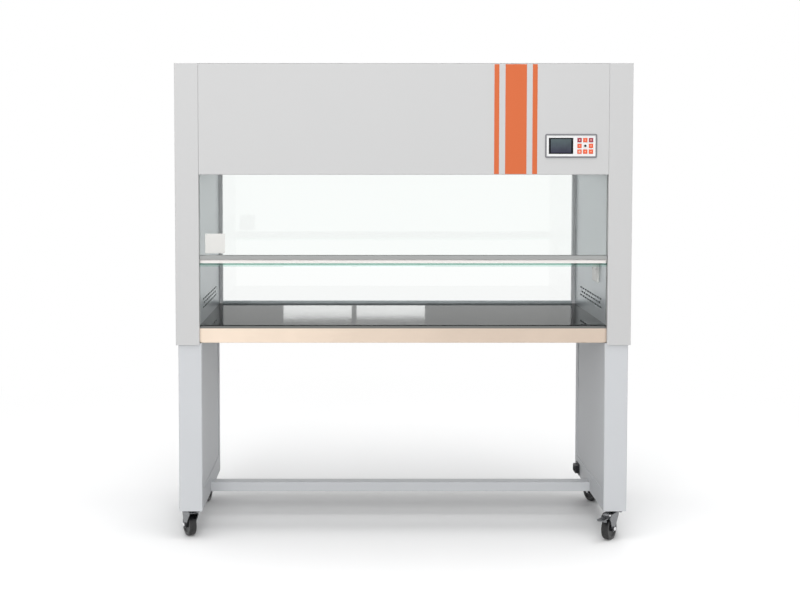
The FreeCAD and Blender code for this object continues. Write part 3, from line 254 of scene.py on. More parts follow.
def put_in_place(piece, turn=None, place=(0, 0, 0)):
    """Writes a turn and a place into the mesh, so that the object stays at the origin."""
    activate(piece)
    bpy.ops.object.transform_apply(location=True, rotation=True, scale=True)
    matrix = Matrix.Translation(Vector(place))
    if turn is not None:
        matrix = matrix @ turn.to_matrix().to_4x4()
    piece.data.transform(matrix)
    piece.data.update()


def copy_of(piece, name, turn=None, place=(0, 0, 0)):
    """A copy with its own mesh, put in place."""
    copy = piece.copy()
    copy.data = piece.data.copy()
    copy.name = name
    bpy.context.scene.collection.objects.link(copy)
    put_in_place(copy, turn, place)
    return copy


def joined(name, pieces):
    """One object of several, under the first one's material slots."""
    bpy.ops.object.select_all(action="DESELECT")
    for piece in pieces:
        piece.select_set(True)
    bpy.context.view_layer.objects.active = pieces[0]
    bpy.ops.object.join()
    bpy.context.object.name = name
    return bpy.context.object


def discard(*pieces):
    for piece in pieces:
        bpy.data.objects.remove(piece)


def from_z_to(axis):
    """The turn that lays the Z axis of a lathe-made piece along another axis."""
    return Vector((0, 0, 1)).rotation_difference(Vector(axis))


# %% [markdown]
# The floor is a very large plane that belongs to the studio and not to the cabinet. Close
# to the casters it is a pale matt surface that takes their shadow. Further away it fades
# into the same white as the world, so no horizon shows behind the glass. Diffuse rays find
# a greyer floor, so that it doesn't throw light up under the cabinet.

# %% Floor
floor_size = 120.0
floor_fade_start, floor_fade_end = 0.9, 3.2
floor_pale, floor_grey = 0.97, 0.45
floor = begin("studio_floor", bpy.ops.mesh.primitive_plane_add, size=floor_size)
floor_paint = bpy.data.materials.new("studio_floor")
floor_paint.use_nodes = True
floor_tree = floor_paint.node_tree
floor_shader = floor_tree.nodes["Principled BSDF"]
floor_tone = node(floor_tree, "ShaderNodeMapRange",
                  {"To Min": floor_pale, "To Max": floor_grey})
floor_shader.inputs["Roughness"].default_value = 0.9
floor_shader.inputs["Specular IOR Level"].default_value = 0.1
floor_place = node(floor_tree, "ShaderNodeTexCoord")
floor_reach = node(floor_tree, "ShaderNodeVectorMath", operation="LENGTH")
floor_fade = node(floor_tree, "ShaderNodeMapRange",
                  {"From Min": floor_fade_start, "From Max": floor_fade_end},
                  interpolation_type="SMOOTHSTEP")
floor_white = node(floor_tree, "ShaderNodeEmission")
floor_ray = node(floor_tree, "ShaderNodeLightPath")
floor_level = node(floor_tree, "ShaderNodeMapRange", {"To Min": 1.0, "To Max": world_level})
floor_mix = node(floor_tree, "ShaderNodeMixShader")
wire(
    floor_tree,
    (floor_place.outputs["Object"], floor_reach.inputs[0]),
    (floor_reach.outputs["Value"], floor_fade.inputs["Value"]),
    (floor_ray.outputs["Is Diffuse Ray"], floor_level.inputs["Value"]),
    (floor_ray.outputs["Is Diffuse Ray"], floor_tone.inputs["Value"]),
    (floor_tone.outputs[0], floor_shader.inputs["Base Color"]),
    (floor_level.outputs[0], floor_white.inputs["Strength"]),
    (floor_fade.outputs[0], floor_mix.inputs["Fac"]),
    (floor_shader.outputs[0], floor_mix.inputs[1]),
    (floor_white.outputs[0], floor_mix.inputs[2]),
    (floor_mix.outputs[0], floor_tree.nodes["Material Output"].inputs["Surface"]),
)
floor.data.materials.append(floor_paint)
floor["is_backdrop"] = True
print("floor", floor_size, "m wide")

# %% [markdown]
# Four effects come back in many finishes, so each is a node group with named sockets: a
# slow drift of tone across large panels, the fine skin of powder coat and moulded plastic,
# the long scratches of brushed metal, and the grey film of dust near the floor. A group
# puts out a colour, a mask or a height, and the material decides what to do with it.

# %% Group helpers
def new_group(name, inputs, outputs):
    """A node group with its sockets, and its two end nodes."""
    group = bpy.data.node_groups.new(name, "ShaderNodeTree")
    for label, kind, value in inputs:
        socket = group.interface.new_socket(label, in_out="INPUT", socket_type=kind)
        socket.default_value = value
    for label, kind in outputs:
        group.interface.new_socket(label, in_out="OUTPUT", socket_type=kind)
    return group, group.nodes.new("NodeGroupInput"), group.nodes.new("NodeGroupOutput")


number, colour, vector = "NodeSocketFloat", "NodeSocketColor", "NodeSocketVector"

# %% Tone drift
drift_group, drift_in, drift_out = new_group(
    "tone_drift",
    [("Color", colour, (0.5, 0.5, 0.5, 1.0)), ("Patches per metre", number, 3.0),
     ("Amount", number, 0.04)],
    [("Color", colour)],
)
place = node(drift_group, "ShaderNodeTexCoord")
patches = node(drift_group, "ShaderNodeTexNoise", {"Detail": 3.0, "Roughness": 0.55})
centred = node(drift_group, "ShaderNodeMath", {1: 0.5}, operation="SUBTRACT")
scaled = node(drift_group, "ShaderNodeMath", operation="MULTIPLY")
gain = node(drift_group, "ShaderNodeMath", {1: 1.0}, operation="ADD")
tinted = node(drift_group, "ShaderNodeVectorMath", operation="SCALE")
wire(
    drift_group,
    (place.outputs["Object"], patches.inputs["Vector"]),
    (drift_in.outputs["Patches per metre"], patches.inputs["Scale"]),
    (patches.outputs["Fac"], centred.inputs[0]),
    (centred.outputs[0], scaled.inputs[0]),
    (drift_in.outputs["Amount"], scaled.inputs[1]),
    (scaled.outputs[0], gain.inputs[0]),
    (drift_in.outputs["Color"], tinted.inputs[0]),
    (gain.outputs[0], tinted.inputs["Scale"]),
    (tinted.outputs[0], drift_out.inputs["Color"]),
)

# %% Fine skin
skin_group, skin_in, skin_out = new_group(
    "fine_skin",
    [("Grains per metre", number, 700.0), ("Depth", number, 0.5)],
    [("Height", number), ("Grain", number)],
)
place = node(skin_group, "ShaderNodeTexCoord")
grains = node(skin_group, "ShaderNodeTexNoise", {"Detail": 2.0, "Roughness": 0.5})
height = node(skin_group, "ShaderNodeMath", operation="MULTIPLY")
wire(
    skin_group,
    (place.outputs["Object"], grains.inputs["Vector"]),
    (skin_in.outputs["Grains per metre"], grains.inputs["Scale"]),
    (grains.outputs["Fac"], height.inputs[0]),
    (skin_in.outputs["Depth"], height.inputs[1]),
    (height.outputs[0], skin_out.inputs["Height"]),
    (grains.outputs["Fac"], skin_out.inputs["Grain"]),
)

# %% Brushed lines
brush_group, brush_in, brush_out = new_group(
    "brushed_lines",
    [("Lines", vector, (4.0, 900.0, 900.0)), ("Depth", number, 0.5)],
    [("Height", number), ("Streak", number)],
)
place = node(brush_group, "ShaderNodeTexCoord")
stretch = node(brush_group, "ShaderNodeVectorMath", operation="MULTIPLY")
lines = node(brush_group, "ShaderNodeTexNoise", {"Scale": 1.0, "Detail": 4.0, "Roughness": 0.65})
height = node(brush_group, "ShaderNodeMath", operation="MULTIPLY")
wire(
    brush_group,
    (place.outputs["Object"], stretch.inputs[0]),
    (brush_in.outputs["Lines"], stretch.inputs[1]),
    (stretch.outputs[0], lines.inputs["Vector"]),
    (lines.outputs["Fac"], height.inputs[0]),
    (brush_in.outputs["Depth"], height.inputs[1]),
    (height.outputs[0], brush_out.inputs["Height"]),
    (lines.outputs["Fac"], brush_out.inputs["Streak"]),
)

# %% Floor dust
dust_group, dust_in, dust_out = new_group(
    "floor_dust",
    [("Color", colour, (0.5, 0.5, 0.5, 1.0)), ("Reach", number, 0.08),
     ("Amount", number, 0.25)],
    [("Color", colour), ("Mask", number)],
)
dust_tone = (0.30, 0.29, 0.27, 1.0)
place = node(dust_group, "ShaderNodeTexCoord")
split = node(dust_group, "ShaderNodeSeparateXYZ")
fall = node(dust_group, "ShaderNodeMapRange", {"To Min": 1.0, "To Max": 0.0})
specks = node(dust_group, "ShaderNodeTexNoise", {"Scale": 160.0, "Detail": 4.0})
broken = node(dust_group, "ShaderNodeMath", operation="MULTIPLY")
share = node(dust_group, "ShaderNodeMath", operation="MULTIPLY")
blend = node(dust_group, "ShaderNodeMix", data_type="RGBA")
blend.inputs[7].default_value = dust_tone
wire(
    dust_group,
    (place.outputs["Object"], split.inputs[0]),
    (split.outputs["Z"], fall.inputs["Value"]),
    (dust_in.outputs["Reach"], fall.inputs["From Max"]),
    (place.outputs["Object"], specks.inputs["Vector"]),
    (fall.outputs[0], broken.inputs[0]),
    (specks.outputs["Fac"], broken.inputs[1]),
    (broken.outputs[0], share.inputs[0]),
    (dust_in.outputs["Amount"], share.inputs[1]),
    (share.outputs[0], blend.inputs[0]),
    (dust_in.outputs["Color"], blend.inputs[6]),
    (blend.outputs[2], dust_out.inputs["Color"]),
    (share.outputs[0], dust_out.inputs["Mask"]),
)
print("node groups", len(bpy.data.node_groups))

# %% [markdown]
# Each finish starts from the same few nodes: the shader, a drift of tone on its colour, and
# a bump node. What makes it paint or metal is what is wired in between. A number that is
# the same all over goes straight onto the shader.

# %% Finish helpers
class Finish:
    """A material that is being built: its tree, its shader and its bump node."""

    def __init__(self, name, metallic=0.0, specular=0.5, bump=0.00005):
        self.material = bpy.data.materials.new(name)
        self.material.use_nodes = True
        self.tree = self.material.node_tree
        self.shader = self.tree.nodes["Principled BSDF"]
        self.shader.inputs["Metallic"].default_value = metallic
        self.shader.inputs["Specular IOR Level"].default_value = specular
        self.place = node(self.tree, "ShaderNodeTexCoord").outputs["Object"]
        self.bump = node(self.tree, "ShaderNodeBump", {"Strength": 1.0, "Distance": bump})
        wire(self.tree, (self.bump.outputs[0], self.shader.inputs["Normal"]))

    def group(self, group, values=None):
        made = node(self.tree, "ShaderNodeGroup", node_tree=group)
        for name, value in (values or {}).items():
            made.inputs[name].default_value = value
        return made

    def tone(self, source, patches=3.0, amount=0.04):
        """Colour through the drift group: source is a colour or an output."""
        drift = self.group(drift_group, {"Patches per metre": patches, "Amount": amount})
        if isinstance(source, tuple):
            drift.inputs["Color"].default_value = (*source, 1.0)
        else:
            wire(self.tree, (source, drift.inputs["Color"]))
        wire(self.tree, (drift.outputs["Color"], self.shader.inputs["Base Color"]))
        return drift

    def rough(self, source, low, high):
        """Roughness between two values, following a mask."""
        span = node(self.tree, "ShaderNodeMapRange",
                    {"From Min": 0.3, "From Max": 0.7, "To Min": low, "To Max": high})
        wire(self.tree, (source, span.inputs["Value"]),
             (span.outputs[0], self.shader.inputs["Roughness"]))

    def raise_by(self, source):
        wire(self.tree, (source, self.bump.inputs["Height"]))

    def axis(self, name):
        """One coordinate of the surface point, in metres."""
        split = node(self.tree, "ShaderNodeSeparateXYZ")
        wire(self.tree, (self.place, split.inputs[0]))
        return split.outputs[name]

    def step(self, source, edge, width=0.0004):
        """0 below an edge and 1 above it, over a short width."""
        ramp = node(self.tree, "ShaderNodeMapRange",
                    {"From Min": edge - width / 2, "From Max": edge + width / 2})
        wire(self.tree, (source, ramp.inputs["Value"]))
        return ramp.outputs[0]

    def mix(self, factor, low, high):
        """A colour between two, each a colour or an output."""
        blend = node(self.tree, "ShaderNodeMix", data_type="RGBA")
        wire(self.tree, (factor, blend.inputs[0]))
        for index, source in ((6, low), (7, high)):
            if isinstance(source, tuple):
                blend.inputs[index].default_value = (*source, 1.0)
            else:
                wire(self.tree, (source, blend.inputs[index]))
        return blend.outputs[2]

    def between(self, source, low, high):
        """1 where a coordinate lies between two values, else 0."""
        above = self.step(source, low)
        below = self.step(source, high)
        both = node(self.tree, "ShaderNodeMath", operation="SUBTRACT")
        wire(self.tree, (above, both.inputs[0]), (below, both.inputs[1]))
        return both.outputs[0]

    def product(self, a, b):
        both = node(self.tree, "ShaderNodeMath", operation="MULTIPLY")
        wire(self.tree, (a, both.inputs[0]), (b, both.inputs[1]))
        return both.outputs[0]


def dress(finish, *names):
    """Gives a finish to frame solids or to new pieces."""
    for name in names:
        piece = nodes.get(name) or bpy.data.objects[name]
        piece.data.materials.clear()
        piece.data.materials.append(finish.material)


# %% [markdown]
# Powder coat is a satin skin with very fine grains, and large panels drift a little in tone.
# The hood and the columns are a neutral light grey. The stands and the stretcher are the
# same coat from another batch, slightly cooler, with a little dust near the floor.

# %% Powder coat
def powder_coat(name, tone, dusty=False):
    finish = Finish(name, specular=0.4, bump=0.00006)
    skin = finish.group(skin_group, {"Grains per metre": 650.0, "Depth": 0.6})
    if dusty:
        dust = finish.group(dust_group, {"Reach": 0.25, "Amount": 0.05})
        dust.inputs["Color"].default_value = (*tone, 1.0)
        finish.tone(dust.outputs["Color"], 2.5, 0.05)
    else:
        finish.tone(tone, 2.0, 0.03)
    finish.rough(skin.outputs["Grain"], 0.38, 0.5)
    finish.raise_by(skin.outputs["Height"])
    return finish


shell_coat = powder_coat("shell_powder_coat", (0.615, 0.615, 0.615))
stand_coat = powder_coat("stand_powder_coat", (0.635, 0.65, 0.67), dusty=True)
dress(shell_coat, "column_shell_left", "column_shell_right", "hood_front_panel", "hood_cover")
dress(stand_coat, "stand_left", "stand_right", "stretcher")
print("powder coat on 7 pieces")

# %% [markdown]
# The three upright stripes on the hood are an orange film, smoother than the coat below.

# %% Stripe film
stripe_film = Finish("stripe_film", specular=0.45, bump=0.00002)
stripe_skin = stripe_film.group(skin_group, {"Grains per metre": 420.0, "Depth": 0.5})
stripe_film.tone((0.66, 0.145, 0.045), 3.0, 0.05)
stripe_film.rough(stripe_skin.outputs["Grain"], 0.34, 0.44)
stripe_film.raise_by(stripe_skin.outputs["Height"])
dress(stripe_film, "accent_stripes")

# %% [markdown]
# The tray's top is polished like a dark mirror, while its apron, the upright front strip, is
# brushed along its length. The apron carries a painted reflection: a warm tone, pale at the left
# and darker towards the right, with streaks. One sheet carries both, so one material tells them
# apart by place: the apron is the face in front of the rounded nose. Polished sheet is never quite
# flat, and a slow, shallow wave makes its reflections swim.

# %% Worktop steel
tray_low, tray_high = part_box("work_table")
nose_drop = 10 * mm
apron_top = tray_high.z - nose_drop
# The apron's two warm tones are a painted reflection, pale at the left and darker at the right.
apron_reflection_left, apron_reflection_right = (0.95, 0.80, 0.66), (0.70, 0.58, 0.48)
worktop = Finish("worktop_steel", metallic=1.0, bump=0.0004)
worktop.shader.inputs["Specular Tint"].default_value = (0.34, 0.34, 0.34, 1.0)
lines = worktop.group(brush_group, {"Lines": (3.0, 600.0, 260.0), "Depth": 0.06})
in_front = worktop.step(worktop.axis("Y"), tray_low.y + 3 * mm)
above = worktop.step(worktop.axis("Z"), apron_top, 3 * mm)
is_top = node(worktop.tree, "ShaderNodeMath", operation="MAXIMUM")
wire(worktop.tree, (in_front, is_top.inputs[0]), (above, is_top.inputs[1]))
along = node(worktop.tree, "ShaderNodeMapRange",
             {"From Min": tray_low.x, "From Max": tray_high.x * 0.5})
wire(worktop.tree, (worktop.axis("X"), along.inputs["Value"]))
apron_reflection_ramp = worktop.mix(along.outputs[0], apron_reflection_left, apron_reflection_right)
# Painted reflection: streaks of tone on the apron.
streaked_reflection = worktop.group(drift_group, {"Patches per metre": 5.0, "Amount": 0.22})
wire(worktop.tree, (apron_reflection_ramp, streaked_reflection.inputs["Color"]))
apron_reflection_tone = streaked_reflection.outputs["Color"]
worktop.tone(worktop.mix(is_top.outputs[0], apron_reflection_tone, (0.19, 0.195, 0.19)), 2.0, 0.05)
tray_rough = node(worktop.tree, "ShaderNodeMapRange", {"To Min": 0.36, "To Max": 0.05})
waves = node(worktop.tree, "ShaderNodeTexNoise", {"Scale": 3.0, "Detail": 1.0})
wire(
    worktop.tree,
    (is_top.outputs[0], tray_rough.inputs["Value"]),
    (tray_rough.outputs[0], worktop.shader.inputs["Roughness"]),
    (worktop.place, waves.inputs["Vector"]),
)
polish_or_brush = node(worktop.tree, "ShaderNodeMix", data_type="FLOAT")
wire(
    worktop.tree,
    (is_top.outputs[0], polish_or_brush.inputs[0]),
    (lines.outputs["Height"], polish_or_brush.inputs[2]),
    (waves.outputs["Fac"], polish_or_brush.inputs[3]),
)
worktop.raise_by(polish_or_brush.outputs[0])
dress(worktop, "work_table")
print("apron top at", round(apron_top, 4))

# %% [markdown]
# The liner walls are satin stainless sheet with upright brushing. The extrusions of the
# sash, the rear window and the filter are anodised aluminium, brushed along their length,
# and the parts inside the hood are plain galvanised sheet with its cloudy spangle.

# %% Metals
def brushed(name, tone, lines, low, high, metallic=1.0, amount=0.05):
    finish = Finish(name, metallic=metallic, bump=0.00003)
    streaks = finish.group(brush_group, {"Lines": lines, "Depth": 0.7})
    darker = tuple(channel * 0.88 for channel in tone)
    finish.tone(finish.mix(streaks.outputs["Streak"], darker, tone), 4.0, amount)
    finish.rough(streaks.outputs["Streak"], low, high)
    finish.raise_by(streaks.outputs["Height"])
    return finish


liner_steel = brushed("liner_steel", (0.56, 0.60, 0.62), (900.0, 900.0, 6.0), 0.30, 0.42, 0.75)
upright_aluminium = brushed("upright_aluminium", (0.70, 0.72, 0.71), (900.0, 900.0, 5.0), 0.3, 0.42)
long_aluminium = brushed("long_aluminium", (0.50, 0.53, 0.52), (5.0, 900.0, 900.0), 0.28, 0.4)
galvanised = brushed("galvanised_sheet", (0.60, 0.62, 0.64), (60.0, 60.0, 60.0), 0.35, 0.55)
impeller_alloy = brushed("impeller_alloy", (0.72, 0.73, 0.75), (300.0, 60.0, 60.0), 0.28, 0.4)
zinc = brushed("bright_zinc", (0.20, 0.205, 0.215), (220.0, 220.0, 220.0), 0.18, 0.32, 1.0, 0.25)
# The axle caps' near-white, partly matt tone is a painted highlight.
cap_highlight_metal = brushed("cap_painted_highlight", (0.90, 0.90, 0.92), (220.0, 220.0, 220.0), 0.2, 0.3, 0.4)
dress(liner_steel, "inner_walls")
dress(upright_aluminium, "sash_edge_rails", "sash_guides")
dress(long_aluminium, "filter_frame")
dress(galvanised, "fan_deck", "blower_housings", "diffuser_plate")
dress(impeller_alloy, "impeller_left", "impeller_right")
dress(zinc, "caster_plates", *(f"caster_fork_{corner}" for corner in corners),
      *(f"brake_pedal_{corner}" for corner in corners))

# %% [markdown]
# The rear window's frame is one aluminium extrusion with painted light and shade on it: its posts
# are painted near-white as lit parts, and its rails a darker blue-grey as painted shade. The frame
# is one solid, so its material tells them apart by how far a point is from the middle of the
# cabinet.

# %% Rear window frame
frame_low, frame_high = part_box("rear_window_frame")
post_width = 11 * mm
window_metal = Finish("window_aluminium", metallic=0.2, bump=0.00003)
window_lines = window_metal.group(brush_group, {"Lines": (60.0, 900.0, 60.0), "Depth": 0.6})
off_middle = node(window_metal.tree, "ShaderNodeMath", operation="ABSOLUTE")
wire(window_metal.tree, (window_metal.axis("X"), off_middle.inputs[0]))
lit_post_mask = window_metal.step(off_middle.outputs[0], frame_high.x - post_width, 1 * mm)
# Painted light: near-white on the posts, a darker blue-grey painted shade on the rails.
window_metal.tone(window_metal.mix(lit_post_mask, (0.66, 0.72, 0.74), (0.95, 0.96, 0.97)), 3.0, 0.04)
window_metal.rough(window_lines.outputs["Streak"], 0.3, 0.45)
window_metal.raise_by(window_lines.outputs["Height"])
dress(window_metal, "rear_window_frame")

# %% [markdown]
# The handle rail is one aluminium extrusion with two faces: the grip, painted a mid grey as shade,
# and a thin lip below it, painted almost white as a highlight. A step in height tells them apart.

# %% Handle rail
handle_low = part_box("sash_handle")[0]
lip_height = 12.5 * mm
lip_top = handle_low.z + lip_height
handle_metal = Finish("handle_aluminium", metallic=0.85, bump=0.00003)
handle_lines = handle_metal.group(brush_group, {"Lines": (5.0, 900.0, 900.0), "Depth": 0.7})
shaded_grip_mask = handle_metal.step(handle_metal.axis("Z"), lip_top, 1 * mm)
# Painted shade on the grip and a painted highlight on the lip.
handle_metal.tone(handle_metal.mix(shaded_grip_mask, (0.93, 0.89, 0.87), (0.40, 0.41, 0.405)), 3.0, 0.04)
handle_metal.rough(handle_lines.outputs["Streak"], 0.3, 0.42)
handle_metal.raise_by(handle_lines.outputs["Height"])
dress(handle_metal, "sash_handle")

# %% [markdown]
# Float glass is clear when looked through and green when looked along. The edge that the
# eye notices is the sash's lower one, so the strip below the handle takes the green that the
# thickness of the pane gives it. It is strongest close to the handle, weaker at the edge
# itself, and the rest of the pane stays clear.

# %% Glass
green, pale_green, green_height = (0.30, 0.51, 0.44), (0.74, 0.88, 0.84), 7 * mm


def clear_glass(name, edge_z=None):
    glass = Finish(name, bump=0.00002)
    glass.shader.inputs["Transmission Weight"].default_value = 1.0
    glass.shader.inputs["IOR"].default_value = 1.45
    waves = node(glass.tree, "ShaderNodeTexNoise", {"Scale": 5.0, "Detail": 1.0})
    wire(glass.tree, (glass.place, waves.inputs["Vector"]))
    glass.rough(waves.outputs["Fac"], 0.0, 0.01)
    glass.raise_by(waves.outputs["Fac"])
    clear = (0.975, 0.99, 0.982)
    if edge_z is None:
        glass.tone(clear, 2.0, 0.01)
    else:
        height = glass.axis("Z")
        strip = glass.mix(glass.step(height, edge_z - green_height, 2 * mm), pale_green, green)
        glass.tone(glass.mix(glass.step(height, edge_z, 1 * mm), strip, clear), 2.0, 0.01)
    return glass


dress(clear_glass("sash_glass", handle_low.z), "sash_glass")
dress(clear_glass("window_glass"), "rear_window")

# %% [markdown]
# Plastics, paper, rubber and painted castings share one recipe: a tone, a fine skin and a
# roughness that follows it. Only the numbers differ.

# %% Moulded finishes
def moulded(name, tone, low, high, grains=500.0, depth=0.4, specular=0.5, bump=0.00004):
    finish = Finish(name, specular=specular, bump=bump)
    skin = finish.group(skin_group, {"Grains per metre": grains, "Depth": depth})
    finish.tone(tone, 12.0, 0.06)
    finish.rough(skin.outputs["Grain"], low, high)
    finish.raise_by(skin.outputs["Height"])
    return finish


motor_paint = moulded("motor_paint", (0.03, 0.035, 0.04), 0.35, 0.5)
filter_paper = moulded("filter_paper", (0.82, 0.82, 0.78), 0.8, 0.95, 900.0, 1.0)
lamp_white = moulded("lamp_white", (0.86, 0.87, 0.88), 0.15, 0.25)
bezel_grey = moulded("bezel_grey", (0.22, 0.22, 0.235), 0.35, 0.45, 1500.0)
fascia_white = moulded("fascia_white", (0.88, 0.88, 0.88), 0.4, 0.5, 1500.0)
board_green = moulded("board_green", (0.02, 0.16, 0.06), 0.3, 0.4)
socket_white = moulded("socket_white", (0.93, 0.93, 0.90), 0.18, 0.28, 900.0)
inlet_black = moulded("inlet_black", (0.012, 0.012, 0.016), 0.35, 0.5, 1200.0)
weight_iron = moulded("weight_iron", (0.10, 0.10, 0.10), 0.55, 0.75, 300.0, 1.0)
pulley_nylon = moulded("pulley_nylon", (0.70, 0.68, 0.62), 0.35, 0.45)
label_paper = moulded("label_paper", (0.76, 0.755, 0.73), 0.5, 0.6, 1500.0)
mark_white = moulded("mark_white", (0.90, 0.52, 0.42), 0.4, 0.5, 1500.0)
mark_black = moulded("mark_black", (0.01, 0.012, 0.012), 0.4, 0.5, 1500.0)
dress(motor_paint, "blower_motors")
dress(filter_paper, "filter_media", "prefilter")
dress(lamp_white, "lamps")
dress(bezel_grey, "control_bezel")
dress(fascia_white, "control_fascia")
dress(board_green, "circuit_board")
dress(socket_white, "wall_socket")
dress(inlet_black, "power_inlet")
dress(weight_iron, "counterweight_left", "counterweight_right")
dress(pulley_nylon, "pulley_left", "pulley_right")

# %% [markdown]
# The keys are moulded in three colours: two maroon ones at the top corners, a white one in
# the middle with a black dot, and orange for the other six.

# %% Keys
key_orange = moulded("key_orange", (0.85, 0.13, 0.05), 0.35, 0.45, 1500.0)
key_maroon = moulded("key_maroon", (0.33, 0.03, 0.06), 0.35, 0.45, 1500.0)
key_white = moulded("key_white", (0.86, 0.86, 0.85), 0.35, 0.45, 1500.0)
key_finish = {name: key_orange for name in nodes if name.startswith("key_")}
key_finish.update({"key_1": key_maroon, "key_3": key_maroon, "key_5": key_white})
for name, finish in key_finish.items():
    dress(finish, name)
print("keys", len(key_finish))

# %% [markdown]
# The display is a dark pane with a liquid crystal field behind it. The field is lighter at
# the top than at the bottom, and it is faintly patchy.

# %% Display
screen_low, screen_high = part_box("display")
pane_low = Vector((screen_low.x + 2 * mm, 0, screen_low.z + 2 * mm))
pane_high = Vector((screen_high.x - 2 * mm, 0, screen_high.z - 2 * mm))
field_side, field_edge = 6.5 * mm, 4.0 * mm
screen = Finish("display_pane", specular=0.15, bump=0.00001)
screen_x, screen_z = screen.axis("X"), screen.axis("Z")
in_field = screen.product(
    screen.between(screen_x, pane_low.x + field_side, pane_high.x - field_side),
    screen.between(screen_z, pane_low.z + field_edge, pane_high.z - field_edge),
)
rise = node(screen.tree, "ShaderNodeMapRange",
            {"From Min": pane_low.z, "From Max": pane_high.z})
wire(screen.tree, (screen_z, rise.inputs["Value"]))
field_tone = screen.mix(rise.outputs[0], (0.04, 0.035, 0.065), (0.10, 0.135, 0.14))
screen_skin = screen.group(skin_group, {"Grains per metre": 60.0, "Depth": 0.2})
screen.tone(screen.mix(in_field, (0.004, 0.005, 0.008), field_tone), 40.0, 0.5)
screen.rough(screen_skin.outputs["Grain"], 0.08, 0.14)
screen.raise_by(screen_skin.outputs["Height"])
dress(screen, "display")

# %% [markdown]
# Caster wheels are turned shapes: a black tyre with a rounded tread, a dished side and a
# raised hub. The frame's wheels have flats, so each is replaced by a smooth one. It starts
# as a cylinder, its rim is bevelled, and its ends are inset and pushed in and out again.

# %% Caster wheels
wheel_radius, wheel_width = 37.5 * mm, 25 * mm
tread_round, tyre_wall, dish, hub_radius, hub_proud = 4 * mm, 9 * mm, 4 * mm, 10 * mm, 5.4 * mm
rim_step, rim_depth, dish_slope, hub_edge = 0.6 * mm, 0.8 * mm, 3.0 * mm, 1.0 * mm


def is_end(centre, normal):
    return abs(normal.z) > 0.99 and centre.xy.length < 1 * mm


def turned_wheel():
    wheel = begin("wheel_pattern", bpy.ops.mesh.primitive_cylinder_add, vertices=72,
                  radius=wheel_radius, depth=wheel_width)
    pick(wheel, "EDGE", lambda middle, way: abs(way.z) < 0.1)
    bpy.ops.mesh.bevel(offset=tread_round, segments=5, profile=0.5)
    pick(wheel, "FACE", is_end)
    bpy.ops.mesh.inset(thickness=tyre_wall - tread_round)
    bpy.ops.mesh.inset(thickness=rim_step, depth=-rim_depth)
    bpy.ops.mesh.inset(thickness=dish_slope, depth=-(dish - rim_depth))
    inner = wheel_radius - tyre_wall - rim_step - dish_slope
    bpy.ops.mesh.inset(thickness=inner - hub_radius - hub_edge)
    bpy.ops.mesh.inset(thickness=hub_edge, depth=hub_proud)
    leave_edit()
    activate(wheel)
    bpy.ops.object.shade_smooth_by_angle(angle=math.radians(40))
    return wheel


tyre_rubber = Finish("tyre_rubber", specular=0.55, bump=0.00005)
tyre_dust = tyre_rubber.group(dust_group, {"Reach": 0.05, "Amount": 0.15})
tyre_dust.inputs["Color"].default_value = (0.005, 0.005, 0.006, 1.0)
tyre_skin = tyre_rubber.group(skin_group, {"Grains per metre": 900.0, "Depth": 0.8})
tyre_rubber.tone(tyre_dust.outputs["Color"], 30.0, 0.2)
tyre_rubber.rough(tyre_skin.outputs["Grain"], 0.24, 0.36)
tyre_rubber.raise_by(tyre_skin.outputs["Height"])
centre_plastic = moulded("wheel_centre", (0.012, 0.012, 0.013), 0.3, 0.42, 900.0)

wheel_pattern = turned_wheel()
wheel_pattern.data.materials.append(tyre_rubber.material)
wheel_pattern.data.materials.append(centre_plastic.material)
for face in wheel_pattern.data.polygons:
    face.material_index = int(face.center.xy.length < wheel_radius - tyre_wall - 0.5 * mm)
for corner in corners:
    roll = joints[f"wheel_{corner}_roll"]
    wheel = copy_of(wheel_pattern, f"tyred_wheel_{corner}", from_z_to(roll["axis"]),
                    roll["pos_m"])
    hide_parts(f"caster_wheel_{corner}")
    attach(wheel, f"wheel_{corner}")
discard(wheel_pattern)
print("wheels", len(corners))

# %% [markdown]
# A domed cap closes the nut at each end of an axle. Its near-white, partly matt tone is a painted
# highlight that stands in for the glint on a chrome cap. Among the fork's points that are no
# further from the axle than the nut's corners, the outermost give the nut's outer face. Half a
# sphere is scaled flat and set on that face.

# %% Axle caps
cap_radius, cap_flatness, nut_corner = 6.2 * mm, 0.7, 7.8 * mm


def axle_cap():
    cap = begin("cap_pattern", bpy.ops.mesh.primitive_uv_sphere_add, segments=24, ring_count=12,
                radius=cap_radius)
    bpy.ops.object.mode_set(mode="EDIT")
    bpy.ops.mesh.select_all(action="SELECT")
    bpy.ops.mesh.bisect(plane_co=(0, 0, 0), plane_no=(0, 0, 1), use_fill=True, clear_inner=True)
    leave_edit()
    cap.scale = (1.0, 1.0, cap_flatness)
    put_in_place(cap)
    activate(cap)
    bpy.ops.object.shade_smooth_by_angle(angle=math.radians(40))
    return cap


cap_pattern = axle_cap()
dress(cap_highlight_metal, "cap_pattern")
for corner in corners:
    roll = joints[f"wheel_{corner}_roll"]
    middle, axis = Vector(roll["pos_m"]), Vector(roll["axis"])
    offsets = [vertex.co - middle for vertex in nodes[f"caster_fork_{corner}"].data.vertices]
    reach = max(offset.dot(axis) for offset in offsets
                if (offset - offset.dot(axis) * axis).length < nut_corner)
    caps = joined(f"axle_caps_{corner}",
                  [copy_of(cap_pattern, "cap", from_z_to(axis * side), middle + axis * reach * side)
                   for side in (-1, 1)])
    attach(caps, f"swivel_{corner}")
discard(cap_pattern)
print("axle caps at", round(reach / mm, 2), "mm from the wheel's middle")

# %% [markdown]
# Four hexagon screws hold each caster's plate to the foot of the stand. A six-sided
# cylinder with rounded edges is the head, a flat ring below it is the washer.

